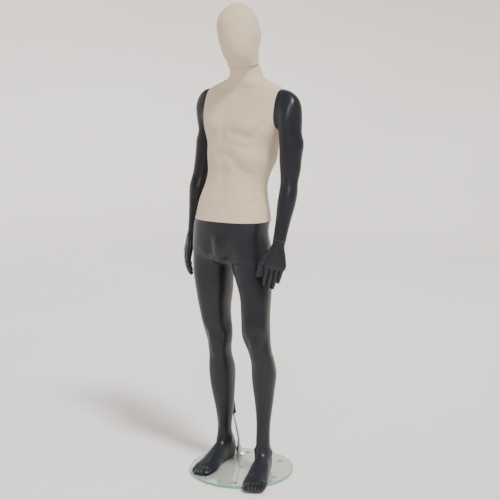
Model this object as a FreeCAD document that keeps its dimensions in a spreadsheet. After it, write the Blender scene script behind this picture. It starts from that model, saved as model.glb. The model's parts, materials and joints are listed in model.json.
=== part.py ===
"""Full body display mannequin on a round glass stand: the parametric model.

Frame: millimetres, +Z up, origin at the centre of the glass disc on the floor.
The chest faces -Y and the figure's left side is +X.
"""
import FreeCAD, Part, Sketcher
import os
from math import atan2, copysign, cos, pi, radians, sin

V = FreeCAD.Vector
doc = FreeCAD.newDocument("mannequin")

# ---------------------------------------------------------------- driving dimensions
DIMENSIONS = {
    "glass_radius": 210, "glass_thickness": 8, "glass_edge": 1.2,
    "pad_radius": 9, "pad_height": 3.4, "pad_circle": 170,
    "bolt_radius": 4, "bolt_clearance": 0.5, "bolt_length": 26,
    "bolt_head_radius": 7, "bolt_head_height": 1.6,
    "washer_radius": 19, "washer_thickness": 1.2,
    "flange_radius": 24, "flange_height": 5, "flange_rim": 1.5, "flange_top_radius": 15,
    "holder_radius": 12.5, "holder_height": 28, "neck_radius": 6.7, "neck_height": 23,
    "holder_floor": 12, "set_screw_radius": 2.5, "set_screw_length": 4,
    "set_screw_heading": 60,
    "rod_radius": 5, "rod_clearance": 0.05, "rod_x": -106, "rod_y": 112,
    "rod_straight": 52, "rod_bend": 60, "rod_lean": 14, "rod_heading": -98.5, "rod_upper": 240,
    "socket_radius": 8, "socket_start": 128, "socket_length": 118, "socket_end_wall": 4,
    "ferrule_radius": 9.5, "ferrule_length": 4, "boss_radius": 11, "boss_length": 60,
    "seam_gap": 0.5, "sole_height": 11.7, "wall": 4, "end_block": 18,
    "cover_thickness": 1, "cover_gap": 0.2,
    "waist_height": 1028, "thigh_height": 865,
    "shoulder_half_span": 181, "shoulder_turn": -4, "shoulder_height": 1455,
    "neck_seam_height": 1622, "neck_tilt": 13,
    "plate_radius": 30, "plate_thickness": 3, "plate_recess": 0.2,
    "spigot_radius": 8, "spigot_clearance": 0.05, "lug_length": 28, "lug_width": 5,
    "lug_height": 4, "lug_play": 0.6, "pocket_radius": 17, "pocket_depth": 13.5,
    "screw_circle": 23, "screw_radius": 2, "screw_length": 11, "screw_head_radius": 3.8,
    "screw_head_height": 2, "peg_radius": 5, "peg_length": 18, "peg_root": 16,
    "peg_flange_radius": 12, "peg_flange_height": 2, "bush_radius": 8, "bush_depth": 24,
    "bush_floor": 3,
}

sheet = doc.addObject("Spreadsheet::Sheet", "Sizes")
for row, (alias, value) in enumerate(DIMENSIONS.items(), start=1):
    sheet.set("A%d" % row, alias.replace("_", " "))
    sheet.set("B%d" % row, str(value))
    sheet.setAlias("B%d" % row, alias)
doc.recompute()


def size(alias):
    """A driving dimension, read back from the sheet."""
    return float(sheet.get(alias))


# ---------------------------------------------------------------- stations of the figure
# Each level station: height, centre x, centre y, half width, front depth, back depth, turn.
UPPER_BODY = [
    (1028, -23, -22, 159, 108, 104, 3), (1060, -24, -18, 155, 105, 103, 2),
    (1110, -25, -13, 143, 101, 100, 1), (1165, -20, -5, 129, 95, 97, 0),
    (1215, -12, 4, 131, 98, 101, -1), (1265, -5, 13, 144, 108, 107, -2),
    (1320, -4, 20, 152, 111, 106, -4), (1375, -3, 25, 178, 110, 108, -4),
    (1425, -3, 29, 194, 100, 108, -4), (1470, -3, 32, 198, 84, 98, -4),
    (1505, -3, 34, 196, 68, 80, -4), (1528, -3, 35, 183, 58, 66, -4),
    (1545, -2, 35, 146, 58, 64, -4), (1562, 0, 34, 104, 60, 64, -4),
    (1583, 2, 30, 72, 60, 63, 0), (1608, 3, 21, 58, 57, 60, 8),
    (1640, 6, 0, 59, 80, 74, 22), (1680, 6, -11, 69, 93, 84, 22),
    (1725, 4, -13, 78, 99, 96, 22), (1770, -1, -15, 77, 96, 94, 22),
    (1810, -4, -15, 64, 80, 78, 22), (1838, -3, -14, 37, 46, 46, 22),
    (1850, -3, -14, 10, 12, 12, 22),
]
PELVIS = [
    (868, -32, -20, 112, 78, 86, 7), (885, -33, -20, 148, 97, 107, 7),
    (905, -34, -21, 163, 105, 115, 7), (950, -33, -24, 159, 107, 111, 6),
    (990, -31, -26, 157, 105, 105, 5), (1028, -23, -22, 157.8, 106.8, 102.8, 3),
]
BULGE = [
    (861, -24, -106, 9, 8, 10, 7), (867, -24, -107, 23, 17, 22, 7),
    (884, -23, -109, 35, 27, 27, 7), (908, -22, -109, 38, 28, 27, 7),
    (938, -22, -106, 30, 19, 20, 7), (960, -22, -103, 12, 7, 10, 7),
]
LEFT_STUMP = [
    (865.5, 63, -15, 76, 79, 88, 14), (905, 57, -17, 75, 86, 96, 12),
    (960, 38, -20, 58, 76, 84, 9),
]
RIGHT_LEG = [
    (960, -92, -21, 58, 78, 86, 8), (905, -117, -22, 73, 93, 101, 8),
    (865, -120, -23, 78, 90, 95, 8), (800, -122, -23, 75, 82, 84, 8),
    (735, -120, -21, 69, 77, 79, 9), (670, -120, -18, 60, 68, 68, 9),
    (610, -113, -13, 53, 59, 59, 9), (555, -106, -8, 48, 53, 53, 9),
    (510, -105, -6, 44.5, 51, 47, 9), (470, -109, 0, 43, 47, 50, 9),
    (425, -112, 8, 47.5, 49, 59, 9), (370, -115, 16, 49, 48, 60, 9),
    (310, -115, 23, 45, 45, 50, 9), (250, -114, 29, 37, 39, 42, 9),
    (190, -115, 33, 30, 34, 35, 9), (150, -116, 34, 27.5, 32, 33, 9),
]
LEFT_LEG = [
    (865, 63, -15, 76, 79, 88, 14), (800, 78, -20, 68, 73, 78, 16),
    (735, 92, -25, 59, 66, 69, 19), (670, 97, -31, 55, 62, 63, 20),
    (610, 103, -35, 52.5, 58, 57, 22), (555, 111, -33, 47, 53, 51, 24),
    (510, 119, -25, 45, 51, 48, 26), (470, 122, -15, 46, 50, 53, 27),
    (425, 119, -5, 48.5, 49, 58, 28), (370, 114, 1, 44, 43, 53, 28),
    (310, 110, 7, 37, 37, 43, 28), (250, 106, 10, 30.5, 32, 35, 28),
    (190, 103, 11, 27, 30, 31, 28), (150, 102, 11, 27.5, 32, 32, 28),
]
# Foot stations, ahead of the ankle: upper point, lower point (forward, height), half width,
# shift towards the big toe.
FOOT = [
    ((34, 121), (-42, 114), 29, 0), ((38, 107), (-54, 82), 33, 0), ((42, 99), (-61, 42), 34, 0),
    ((47, 94), (-47, 5), 34, 0), ((54, 89), (0, 3), 34, 0), ((66, 81), (52, 3), 37, 1),
    ((98, 65), (92, 3), 41, 3), ((135, 50), (132, 3), 46, 4), ((165, 40), (164, 3), 48, 4),
    ((190, 33), (190, 4), 44, 4), ((206, 27), (206, 7), 35, 5), ((213, 21), (213, 13), 20, 6),
]
# Deltoid stations, fanned about the armpit: angle, reach, half depth, roundness of blend, shift back.
DELTOID = {
    "left": [(17, 151, 47, 0.4, 3), (33, 134, 52, 0.75, 2), (49, 112, 52, 1, 1),
             (70, 92, 49, 1, 0), (90, 85, 47, 1, 0)],
    "right": [(17, 148, 45, 0.4, 8), (33, 128, 49, 0.75, 12), (49, 105, 49, 1, 16),
              (70, 86, 46, 1, 20), (90, 79, 44, 1, 23)],
}
# Arm stations below the armpit: height, centre x, centre y, half width, half depth.
ARM = {
    "left": [(1335, 228, 17, 44, 46.5), (1284, 227, 15, 42, 44), (1228, 227, 13, 38, 40),
             (1183, 227, 7, 33, 35.5), (1150, 227, 2, 34, 37), (1105, 225, -8, 33.5, 36.5),
             (1059, 222, -18, 29.5, 32), (1005, 219, -31, 25.5, 28)],
    "right": [(1335, -231, 70, 42, 44), (1284, -237, 67, 41, 43), (1228, -242, 58, 37.5, 40),
              (1175, -246, 43, 33, 35.5), (1145, -247, 34, 34, 37), (1098, -248, 27, 33.5, 36),
              (1048, -248, 17, 29, 31.5), (1010, -247, 9, 25.5, 28)],
}
WRIST = {"left": V(217, -40, 968), "right": V(-246, 1, 976)}
WRIST_RADIUS = 25
FOREARM = {"left": V(-0.055, -0.235, -0.97), "right": V(0.01, -0.225, -0.974)}
PALM = {"left": V(-0.074, -0.17, -0.983), "right": V(-0.05, -0.36, -0.93)}
# The back of each hand faces outward and forward, the thumb inward and forward.
HAND_BACK = {"left": V(0.7, -0.71, 0), "right": V(-0.7, -0.71, 0)}
FINGER_CURL = {"left": (8, 18, 28), "right": (14, 28, 40)}
ARMPIT_RADIUS = 7
ANKLE = {"left": (102, 11, 28), "right": (-116, 34, 9)}
CHEST_CENTRE = V(-3, 30, 0)
RING_POINTS = 24
SQUARENESS = 2.3
HUGE = 4000


# ---------------------------------------------------------------- shape helpers
def smooth_curve(points):
    curve = Part.BSplineCurve()
    curve.interpolate(Points=points, Parameters=[float(k) for k in range(len(points) + 1)],
                      PeriodicFlag=True)
    return curve


def loft(sections):
    """A closed solid skinned smoothly over sections of equally many points, with flat ends."""
    around = [smooth_curve(points) for points in sections]
    places = [0.0]
    for a, b in zip(sections, sections[1:]):
        places.append(places[-1] + sum((p - q).Length for p, q in zip(a, b)) / len(a))
    columns = []
    for column in zip(*[curve.getPoles() for curve in around]):
        along = Part.BSplineCurve()
        along.interpolate(Points=list(column), Parameters=places)
        columns.append(along)
    surface = Part.BSplineSurface()
    surface.buildFromPolesMultsKnots(
        [along.getPoles() for along in columns], around[0].getMultiplicities(),
        columns[0].getMultiplicities(), around[0].getKnots(), columns[0].getKnots(),
        True, False, 3, columns[0].Degree)
    ends = [Part.Face(Part.Wire([surface.vIso(v).toShape()])) for v in (places[0], places[-1])]
    skin_shell = Part.Shell([surface.toShape()] + ends)
    skin_shell.sewShape()
    solid = Part.Solid(skin_shell)
    return solid if solid.Volume > 0 else solid.reversed()


def ring(centre, side, back, half, front_depth, back_depth):
    """A rounded closed section in the plane of the side and back directions."""
    points = []
    for k in range(RING_POINTS):
        angle = 2 * pi * k / RING_POINTS
        c, s = cos(angle), sin(angle)
        x = half * copysign(abs(c) ** (2 / SQUARENESS), c)
        depth = back_depth if s > 0 else front_depth
        y = depth * copysign(abs(s) ** (2 / SQUARENESS), s)
        points.append(centre + side * x + back * y)
    return points


def level_ring(station, grow=0):
    height, x, y, half, front, back_depth, turn = station
    a = radians(turn)
    side, back = V(cos(a), sin(a), 0), V(-sin(a), cos(a), 0)
    return ring(V(x, y, height), side, back, half + grow, front + grow, back_depth + grow)


def level_loft(stations, grow=0):
    return loft([level_ring(s, grow) for s in stations])


def beyond(point, normal):
    """A block that fills the space on the far side of a plane, for trimming."""
    block = Part.makeBox(HUGE, HUGE, HUGE, V(-HUGE / 2, -HUGE / 2, 0))
    block.Placement = FreeCAD.Placement(point, FreeCAD.Rotation(V(0, 0, 1), normal))
    return block


def drum(frame, radius, low, high):
    """A cylinder about a fitting's axis, from one local height to another."""
    shape = Part.makeCylinder(radius, high - low, V(0, 0, low))
    shape.Placement = frame
    return shape


NODES = []


def shell_node(label, shape):
    node = doc.addObject("Part::Feature", label)
    node.Shape = shape
    node.Placement = FreeCAD.Placement()
    node.Label = label
    NODES.append(node)


# ---------------------------------------------------------------- joint frames
# Local +Z of each frame points from the piece that carries the receiver to the piece that hangs on it.
turn = radians(size("shoulder_turn"))
LEFTWARD, REARWARD = V(cos(turn), sin(turn), 0), V(-sin(turn), cos(turn), 0)
tilt = radians(size("neck_tilt"))
NECK_AXIS = V(0, -sin(tilt), cos(tilt))
NECK_CENTRE = V(3, 12, size("neck_seam_height"))
OUTWARD = {"left": LEFTWARD, "right": LEFTWARD * -1}
SHOULDER = {
    name: CHEST_CENTRE + V(0, 0, size("shoulder_height")) + out * size("shoulder_half_span")
    for name, out in OUTWARD.items()
}


def frame_at(point, axis):
    return FreeCAD.Placement(point, FreeCAD.Rotation(V(0, 0, 1), axis))


FRAMES = {
    "waist": frame_at(V(-23, -20, size("waist_height")), V(0, 0, 1)),
    "thigh": frame_at(V(63, -15, size("thigh_height") + size("seam_gap")), V(0, 0, -1)),
    "neck": frame_at(NECK_CENTRE, NECK_AXIS),
    "left_shoulder": frame_at(SHOULDER["left"], OUTWARD["left"]),
    "right_shoulder": frame_at(SHOULDER["right"], OUTWARD["right"]),
}


def cut_receiver_seat(shape, frame):
    """Recess for the receiver plate, the space its lugs turn in, and the screw holes."""
    shape = shape.cut(drum(frame, size("plate_radius") + 0.1,
                           -size("plate_thickness") - size("plate_recess") - 0.05, 1))
    shape = shape.cut(drum(frame, size("pocket_radius"), -size("pocket_depth"), 1))
    return cut_screw_holes(shape, frame, -size("screw_length") - size("plate_recess") - 1, 1)


def cut_spigot_seat(shape, frame):
    gap = size("seam_gap")
    depth = gap + size("plate_thickness") + size("plate_recess") + 0.05
    shape = shape.cut(drum(frame, size("plate_radius") + 0.1, -1, depth))
    return cut_screw_holes(shape, frame, -1, gap + size("screw_length") + size("plate_recess") + 1)


def cut_screw_holes(shape, frame, low, high):
    for k in range(3):
        a = radians(90 + 120 * k)
        spot = V(size("screw_circle") * cos(a), size("screw_circle") * sin(a), 0)
        hole = Part.makeCylinder(size("screw_radius"), high - low, spot + V(0, 0, low))
        hole.Placement = frame
        shape = shape.cut(hole)
    return shape


# ---------------------------------------------------------------- upper body: torso and head
def torso_trim(inset=0):
    """What the torso keeps: between waist, shoulder planes and neck seam."""
    box = Part.makeBox(900, 900, HUGE, V(-450, -450, size("waist_height") + size("seam_gap") + inset))
    for name, out in OUTWARD.items():
        box = box.cut(beyond(SHOULDER[name] - out * inset, out))
    return box.cut(beyond(NECK_CENTRE - NECK_AXIS * inset, NECK_AXIS))


def head_trim(inset=0):
    return beyond(NECK_CENTRE + NECK_AXIS * (size("seam_gap") + inset), NECK_AXIS)


wall = size("wall")
skin = size("cover_thickness")
under_cover = skin + size("cover_gap")
outer_form = level_loft(UPPER_BODY)
cover_lining = level_loft(UPPER_BODY, -skin)
shell_form = level_loft(UPPER_BODY, -under_cover)
hollow_form = level_loft(UPPER_BODY, -under_cover - wall)

torso = shell_form.common(torso_trim())
torso = torso.cut(hollow_form.common(torso_trim(size("end_block"))))
for key in ("neck", "left_shoulder", "right_shoulder"):
    torso = cut_receiver_seat(torso, FRAMES[key])
torso = cut_spigot_seat(torso, FRAMES["waist"])
shell_node("torso_shell", torso)
shell_node("torso_cover", outer_form.cut(cover_lining).common(torso_trim()))

head = shell_form.common(head_trim())
head = head.cut(hollow_form.common(head_trim(size("end_block"))))
head = cut_spigot_seat(head, FRAMES["neck"])
shell_node("head_shell", head)
shell_node("head_cover", outer_form.cut(cover_lining).common(head_trim()))


# ---------------------------------------------------------------- legs
def foot_rings(side, grow=0):
    x, y, heading = ANKLE[side]
    a = radians(heading)
    ahead, across = V(sin(a), -cos(a), 0), V(cos(a), sin(a), 0)
    inner = -1 if side == "left" else 1
    rings = []
    for upper, lower, half, shift in FOOT:
        top = V(x, y, 0) + ahead * upper[0] + V(0, 0, upper[1])
        low = V(x, y, 0) + ahead * lower[0] + V(0, 0, lower[1])
        reach = (low - top).Length / 2
        centre = (top + low) * 0.5 + across * (shift * inner)
        rings.append(ring(centre, across, (low - top).normalize(), half + grow, reach, reach))
    return rings


def above_glass(shape):
    return shape.common(beyond(V(0, 0, size("sole_height")), V(0, 0, 1)))


right_leg = above_glass(loft([level_ring(s) for s in RIGHT_LEG] + foot_rings("right")))
lower_body = level_loft(PELVIS).cut(beyond(V(0, 0, size("waist_height")), V(0, 0, 1)))
for lump in (right_leg, level_loft(LEFT_STUMP), level_loft(BULGE)):
    lower_body = lower_body.fuse(lump)

# The rod's upper run, which the calf socket shares.
lean, heading = radians(size("rod_lean")), radians(size("rod_heading"))
ROD_AXIS = V(sin(lean) * cos(heading), sin(lean) * sin(heading), cos(lean))
rod_foot = size("pad_height") + size("glass_thickness") + size("holder_floor")
bend_run = size("rod_bend") * (1 - cos(lean))
BEND_END = V(size("rod_x") + bend_run * cos(heading), size("rod_y") + bend_run * sin(heading),
             rod_foot + size("rod_straight") + size("rod_bend") * sin(lean))
SOCKET_FRAME = frame_at(BEND_END + ROD_AXIS * size("socket_start"), ROD_AXIS)

lower_body = lower_body.fuse(drum(SOCKET_FRAME, size("boss_radius"), 0, size("boss_length")))
PELVIS_HOLLOW = [(892, -33, -20, 140, 88, 98, 7), *PELVIS[2:5], (1009, -27, -24, 157, 105, 104, 4)]
THIGH_HOLLOW = [(868, -120, -23, 74, 86, 90, 8), *RIGHT_LEG[3:12]]
pelvis_hollow = level_loft(PELVIS_HOLLOW, -wall - 3)
thigh_hollow = level_loft(THIGH_HOLLOW, -wall)
lower_body = lower_body.cut(pelvis_hollow).cut(thigh_hollow)
lower_body = cut_receiver_seat(lower_body, FRAMES["waist"])
lower_body = cut_receiver_seat(lower_body, FRAMES["thigh"])
lower_body = lower_body.cut(drum(SOCKET_FRAME, size("socket_radius"), -20, size("socket_length")))
lower_body = lower_body.cut(drum(SOCKET_FRAME, size("ferrule_radius") + 0.2, -20, 0))
shell_node("lower_body_shell", lower_body)

left_leg = above_glass(loft([level_ring(s) for s in LEFT_LEG] + foot_rings("left")))
LEFT_HOLLOW = [(846, 68, -17, 73, 76, 84, 15), *LEFT_LEG[1:13]]
left_hollow = level_loft(LEFT_HOLLOW, -wall)
left_leg = cut_spigot_seat(left_leg.cut(left_hollow), FRAMES["thigh"])
shell_node("left_leg_shell", left_leg)


# ---------------------------------------------------------------- arms
def shoulder_outline(side):
    """The outline of the shoulder cut, as height above and distance behind the fitting's centre."""
    out = OUTWARD[side]
    cut = outer_form.slice(out, SHOULDER[side].dot(out))[0]
    samples = []
    for p in cut.discretize(720):
        rise, rear = p.z - SHOULDER[side].z, (p - SHOULDER[side]).dot(REARWARD)
        samples.append((atan2(rear, rise) % (2 * pi), rise, rear))
    outline = []
    for k in range(RING_POINTS):
        angle = 2 * pi * k / RING_POINTS
        nearest = min(samples, key=lambda q: abs((q[0] - angle + pi) % (2 * pi) - pi))
        outline.append((nearest[1], nearest[2]))
    return outline


def arm_rings(side, grow=0, first=0):
    """Sections from the shoulder cut, round the deltoid and down to the wrist."""
    out = OUTWARD[side]
    outline = shoulder_outline(side)
    lowest = min(rise for rise, rear in outline)
    pivot = SHOULDER[side] + out * size("seam_gap") + V(0, 0, lowest - ARMPIT_RADIUS)
    rings = []
    for angle, reach, depth, blend, shift in [(0, 0, 0, 0, 0)] + DELTOID[side]:
        a = radians(angle)
        upward = out * sin(a) + V(0, 0, cos(a))
        middle, half = (reach + ARMPIT_RADIUS) / 2, (reach - ARMPIT_RADIUS) / 2
        points = []
        for k, (rise, rear) in enumerate(outline):
            t = 2 * pi * k / RING_POINTS
            round_rise = middle + (half + grow) * cos(t)
            round_rear = shift + (depth + grow) * sin(t)
            flat_rise = rise - lowest + ARMPIT_RADIUS
            points.append(pivot + upward * (flat_rise * (1 - blend) + round_rise * blend)
                          + REARWARD * (rear * (1 - blend) + round_rear * blend))
        rings.append(points)
    for height, x, y, half, depth in ARM[side]:
        rings.append(round_ring(V(x, y, height), out, REARWARD, half + grow, depth + grow))
    return rings[first:]


def round_ring(centre, across, back, half, depth):
    turns = [2 * pi * k / RING_POINTS for k in range(RING_POINTS)]
    return [centre + across * (half * cos(t)) + back * (depth * sin(t)) for t in turns]


def wrist_axes(side):
    """The forearm's direction and two directions square to it."""
    down = FOREARM[side].normalize()
    back = (REARWARD - down * REARWARD.dot(down)).normalize()
    out = OUTWARD[side]
    across = (out - down * out.dot(down) - back * out.dot(back)).normalize()
    return down, across, back


def build_arm(side):
    down, across, back = wrist_axes(side)
    shoulder, wrist = FRAMES[side + "_shoulder"], FRAMES[side + "_wrist"]
    end = round_ring(WRIST[side], across, back, WRIST_RADIUS, WRIST_RADIUS)
    arm = loft(arm_rings(side) + [end])
    arm = arm.cut(loft(arm_rings(side, -wall, first=2)))
    arm = cut_spigot_seat(arm, shoulder)
    arm = arm.cut(drum(wrist, size("bush_radius"), -size("bush_depth"), 1))
    shell_node(side + "_arm_shell", arm)


def strand(points, radii):
    """A round tapering finger with a domed tip, through its joints."""
    rings = []
    for k, point in enumerate(points):
        before, after = points[max(k - 1, 0)], points[min(k + 1, len(points) - 1)]
        along = (after - before).normalize()
        side = along.cross(V(0.31, 0.95, 0.05)).normalize()
        rings.append(round_ring(point, side, along.cross(side), radii[k], radii[k]))
    tip = Part.makeSphere(radii[-1] * 0.98, points[-1])
    return loft(rings).fuse(tip)


# Hand stations: distance from the wrist seam, half breadth, half thickness, shift to the thumb.
HAND = [(30, 27, 20, 0), (52, 35, 19, 1), (78, 41, 16, 2), (100, 41, 13.5, 1), (110, 36, 9, 1)]
# Fingers: distance from the seam and offset to the thumb side of the root, length, radius.
FINGERS = [(97, 29, 84, 8.8), (101, 10, 96, 9.2), (98, -9, 88, 8.8), (91, -27, 68, 7.8)]
FINGER_ROOT = 14
FINGER_TAPER = (1, 1, 0.95, 0.88, 0.75)
FINGER_BONES = (0.42, 0.32, 0.26)
# Thumb joints: distance from the seam, offset to its own side, depth towards the palm, radius.
THUMB = [(46, 24, 0, 13), (66, 38, 3, 12.5), (108, 50, 9, 10), (146, 56, 15, 8)]


def build_hand(side):
    down, across, back = wrist_axes(side)
    axis = PALM[side].normalize()
    rear_face = (HAND_BACK[side] - axis * HAND_BACK[side].dot(axis)).normalize()
    thumb_side = axis.cross(rear_face) * (1 if side == "right" else -1)
    start = WRIST[side] + down * size("seam_gap")
    turned = [rear_face, thumb_side]
    seam = [(v - down * v.dot(down)).normalize() for v in turned]
    rings = [round_ring(start, seam[1], seam[0], WRIST_RADIUS, WRIST_RADIUS)]
    for reach, half, depth, shift in HAND:
        centre = start + axis * reach + thumb_side * shift
        rings.append(round_ring(centre, thumb_side, rear_face, half, depth))
    hand = loft(rings)
    for reach, offset, length, radius in FINGERS:
        root = start + axis * reach + thumb_side * offset
        joints = [root - axis * FINGER_ROOT, root]
        for share, curl in zip(FINGER_BONES, FINGER_CURL[side]):
            bend = axis * cos(radians(curl)) - rear_face * sin(radians(curl))
            joints.append(joints[-1] + bend * (length * share))
        hand = hand.fuse(strand(joints, [radius * taper for taper in FINGER_TAPER]))
    joints = [start + axis * reach + thumb_side * offset - rear_face * depth
              for reach, offset, depth, radius in THUMB]
    hand = hand.fuse(strand(joints, [joint[3] for joint in THUMB]))
    frame = FRAMES[side + "_wrist"]
    gap = size("seam_gap")
    hand = hand.cut(drum(frame, size("peg_radius"), -1, gap + size("peg_root")))
    hand = hand.cut(drum(frame, size("peg_flange_radius"), -1, gap + size("peg_flange_height")))
    shell_node(side + "_hand_shell", hand)


for name in ("left", "right"):
    FRAMES[name + "_wrist"] = frame_at(WRIST[name], FOREARM[name].normalize())
    build_arm(name)
    build_hand(name)


# ---------------------------------------------------------------- primitives for the fittings
def bind(obj, **expressions):
    for prop, text in expressions.items():
        obj.setExpression(prop.replace("__", "."), text)
    return obj


def S(text):
    """Prefix every sheet alias in a formula."""
    words = sorted(DIMENSIONS, key=len, reverse=True)
    out, k = "", 0
    while k < len(text):
        word = next((w for w in words if text.startswith(w, k)), None)
        out += "Sizes." + word if word else text[k]
        k += len(word) if word else 1
    return out


def cylinder(name, radius, height, x="0", y="0", z="0"):
    part = doc.addObject("Part::Cylinder", name)
    bind(part, Radius=S(radius), Height=S(height))
    for axis, text in (("x", x), ("y", y), ("z", z)):
        if text != "0":
            part.setExpression("Placement.Base." + axis, S(text))
    return part


def bar(name, length, width, height, z):
    part = doc.addObject("Part::Box", name)
    return bind(part, Length=S(length), Width=S(width), Height=S(height),
                Placement__Base__x=S("-(%s)/2" % length), Placement__Base__y=S("-(%s)/2" % width),
                Placement__Base__z=S(z))


def fused(name, pieces):
    part = doc.addObject("Part::MultiFuse", name)
    part.Shapes = pieces
    return part


def cut_from(name, base, tools):
    part = doc.addObject("Part::Cut", name)
    part.Base = base
    part.Tool = tools[0] if len(tools) == 1 else fused(name + "_holes", tools)
    return part


def finish(part, label, frame=None):
    part.Label = label
    part.Placement = frame or FreeCAD.Placement()
    NODES.append(part)


def screw_spot(k):
    a = 90 + 120 * k
    return "screw_circle*cos(%d deg)" % a, "screw_circle*sin(%d deg)" % a


def countersunk(name, low, wide_end_up, spot, play=0):
    """A cone for a screw's head or its seat."""
    part = doc.addObject("Part::Cone", name)
    narrow, wide = S("screw_radius+%s" % play), S("screw_head_radius+%s" % play)
    ends = (narrow, wide) if wide_end_up else (wide, narrow)
    bind(part, Radius1=ends[0], Radius2=ends[1], Height=S("screw_head_height"))
    for axis, text in zip("xyz", (*spot, low)):
        part.setExpression("Placement.Base." + axis, S(text))
    return part


def plate_with_holes(label, low, face_up):
    """The screwed round plate that both halves of every twist lock share."""
    plate = cylinder(label + "_disc", "plate_radius", "plate_thickness", z=low)
    seat_low = low + "+plate_thickness-screw_head_height" if face_up else low
    holes = []
    for k in range(3):
        holes.append(cylinder("%s_hole%d" % (label, k), "screw_radius+0.1", "plate_thickness+2",
                              *screw_spot(k), z="%s-1" % low))
        holes.append(countersunk("%s_seat%d" % (label, k), seat_low, face_up, screw_spot(k), 0.1))
    return plate, holes


def receiver(label, frame):
    low = "-plate_thickness-plate_recess"
    disc, holes = plate_with_holes(label, low, True)
    holes.append(cylinder(label + "_bore", "spigot_radius+spigot_clearance", "plate_thickness+2",
                          z=low + "-1"))
    holes.append(bar(label + "_keyway", "lug_length+1", "lug_width+1", "plate_thickness+2", low + "-1"))
    finish(cut_from(label + "_cut", disc, holes), label, frame)


def spigot(label, frame):
    disc, holes = plate_with_holes(label, "seam_gap+plate_recess", False)
    drop = "plate_thickness+plate_recess+lug_play+lug_height"
    shaft = cylinder(label + "_shaft", "spigot_radius", "seam_gap+plate_recess+" + drop, z="-(%s)" % drop)
    lugs = bar(label + "_lugs", "lug_length", "lug_width", "lug_height", "-(%s)" % drop)
    plate = cut_from(label + "_plate", disc, holes)
    finish(fused(label + "_body", [plate, shaft, lugs]), label, frame)


def screws(label, frame, downward):
    """Three countersunk screws, flush with the plate's open face."""
    group = []
    for k in range(3):
        x, y = screw_spot(k)
        if downward:
            head_low, shank_low = "-plate_recess-screw_head_height", "-plate_recess-screw_length"
        else:
            head_low, shank_low = "seam_gap+plate_recess", "seam_gap+plate_recess"
        shank = cylinder("%s_shank%d" % (label, k), "screw_radius", "screw_length", x, y, shank_low)
        head = countersunk("%s_head%d" % (label, k), head_low, downward, (x, y))
        group.append(fused("%s_screw%d" % (label, k), [shank, head]))
    pack = doc.addObject("Part::Compound", label + "_set")
    pack.Links = group
    finish(pack, label, frame)


for key in ("waist", "thigh", "neck", "left_shoulder", "right_shoulder"):
    receiver(key + "_receiver", FRAMES[key])
    screws(key + "_receiver_screws", FRAMES[key], True)
    spigot(key + "_spigot", FRAMES[key])
    screws(key + "_spigot_screws", FRAMES[key], False)

for key in ("left_wrist", "right_wrist"):
    sleeve = cylinder(key + "_sleeve", "bush_radius", "bush_depth", z="-bush_depth")
    bore = cylinder(key + "_bore", "peg_radius+spigot_clearance", "bush_depth", z="-bush_depth+bush_floor")
    finish(cut_from(key + "_cut", sleeve, [bore]), key + "_bush", FRAMES[key])
    shaft = cylinder(key + "_shaft", "peg_radius", "peg_length+peg_root+seam_gap", z="-peg_length")
    collar = cylinder(key + "_collar", "peg_flange_radius", "peg_flange_height-0.2", z="seam_gap+0.2")
    finish(fused(key + "_pin", [shaft, collar]), key + "_peg", FRAMES[key])


# ---------------------------------------------------------------- stand
def origin_plane(body, role):
    return next(f for f in body.Origin.OriginFeatures if f.Role == role)


def new_body(label, plane):
    body = doc.addObject("PartDesign::Body", label)
    body.Label = label
    NODES.append(body)
    sketch = body.newObject("Sketcher::SketchObject", label + "_profile")
    sketch.AttachmentSupport = [(origin_plane(body, plane), "")]
    sketch.MapMode = "FlatFace"
    return body, sketch


def sketch_circle(sketch, radius, x="0", y="0"):
    k = sketch.addGeometry(Part.Circle(V(1, 1, 0), V(0, 0, 1), 5))
    for kind, text in (("DistanceX", x), ("DistanceY", y)):
        if text == "0":
            axis = -2 if kind == "DistanceX" else -1
            sketch.addConstraint(Sketcher.Constraint("PointOnObject", k, 3, axis))
        else:
            c = sketch.addConstraint(Sketcher.Constraint(kind, -1, 1, k, 3, 1))
            sketch.setExpression("Constraints[%d]" % c, S(text))
    c = sketch.addConstraint(Sketcher.Constraint("Radius", k, 5))
    sketch.setExpression("Constraints[%d]" % c, S(radius))


def pad(body, sketch, length):
    feature = body.newObject("PartDesign::Pad", body.Label + "_pad")
    feature.Profile = sketch
    feature.setExpression("Length", S(length))
    body.Tip = feature
    return feature


def revolve(body, sketch, corners):
    """A turned piece: corners are (radius, height) formulas round half its section."""
    rough = [(3 + k, 2 * k) for k in range(len(corners))]
    count = len(corners)
    for k in range(count):
        a, b = rough[k], rough[(k + 1) % count]
        sketch.addGeometry(Part.LineSegment(V(*a, 0), V(*b, 0)))
    for k in range(count):
        sketch.addConstraint(Sketcher.Constraint("Coincident", k, 2, (k + 1) % count, 1))
    for k, (radius, height) in enumerate(corners):
        for kind, text, axis in (("DistanceX", radius, -2), ("DistanceY", height, -1)):
            if text == "0":
                sketch.addConstraint(Sketcher.Constraint("PointOnObject", k, 1, axis))
            else:
                c = sketch.addConstraint(Sketcher.Constraint(kind, -1, 1, k, 1, 1))
                sketch.setExpression("Constraints[%d]" % c, S(text))
    feature = body.newObject("PartDesign::Revolution", body.Label + "_turned")
    feature.Profile = sketch
    feature.ReferenceAxis = (sketch, ["V_Axis"])
    feature.Angle = 360
    body.Tip = feature
    return feature


glass_top = size("pad_height") + size("glass_thickness")
ROD_FOOT = V(size("rod_x"), size("rod_y"), 0)

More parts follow.
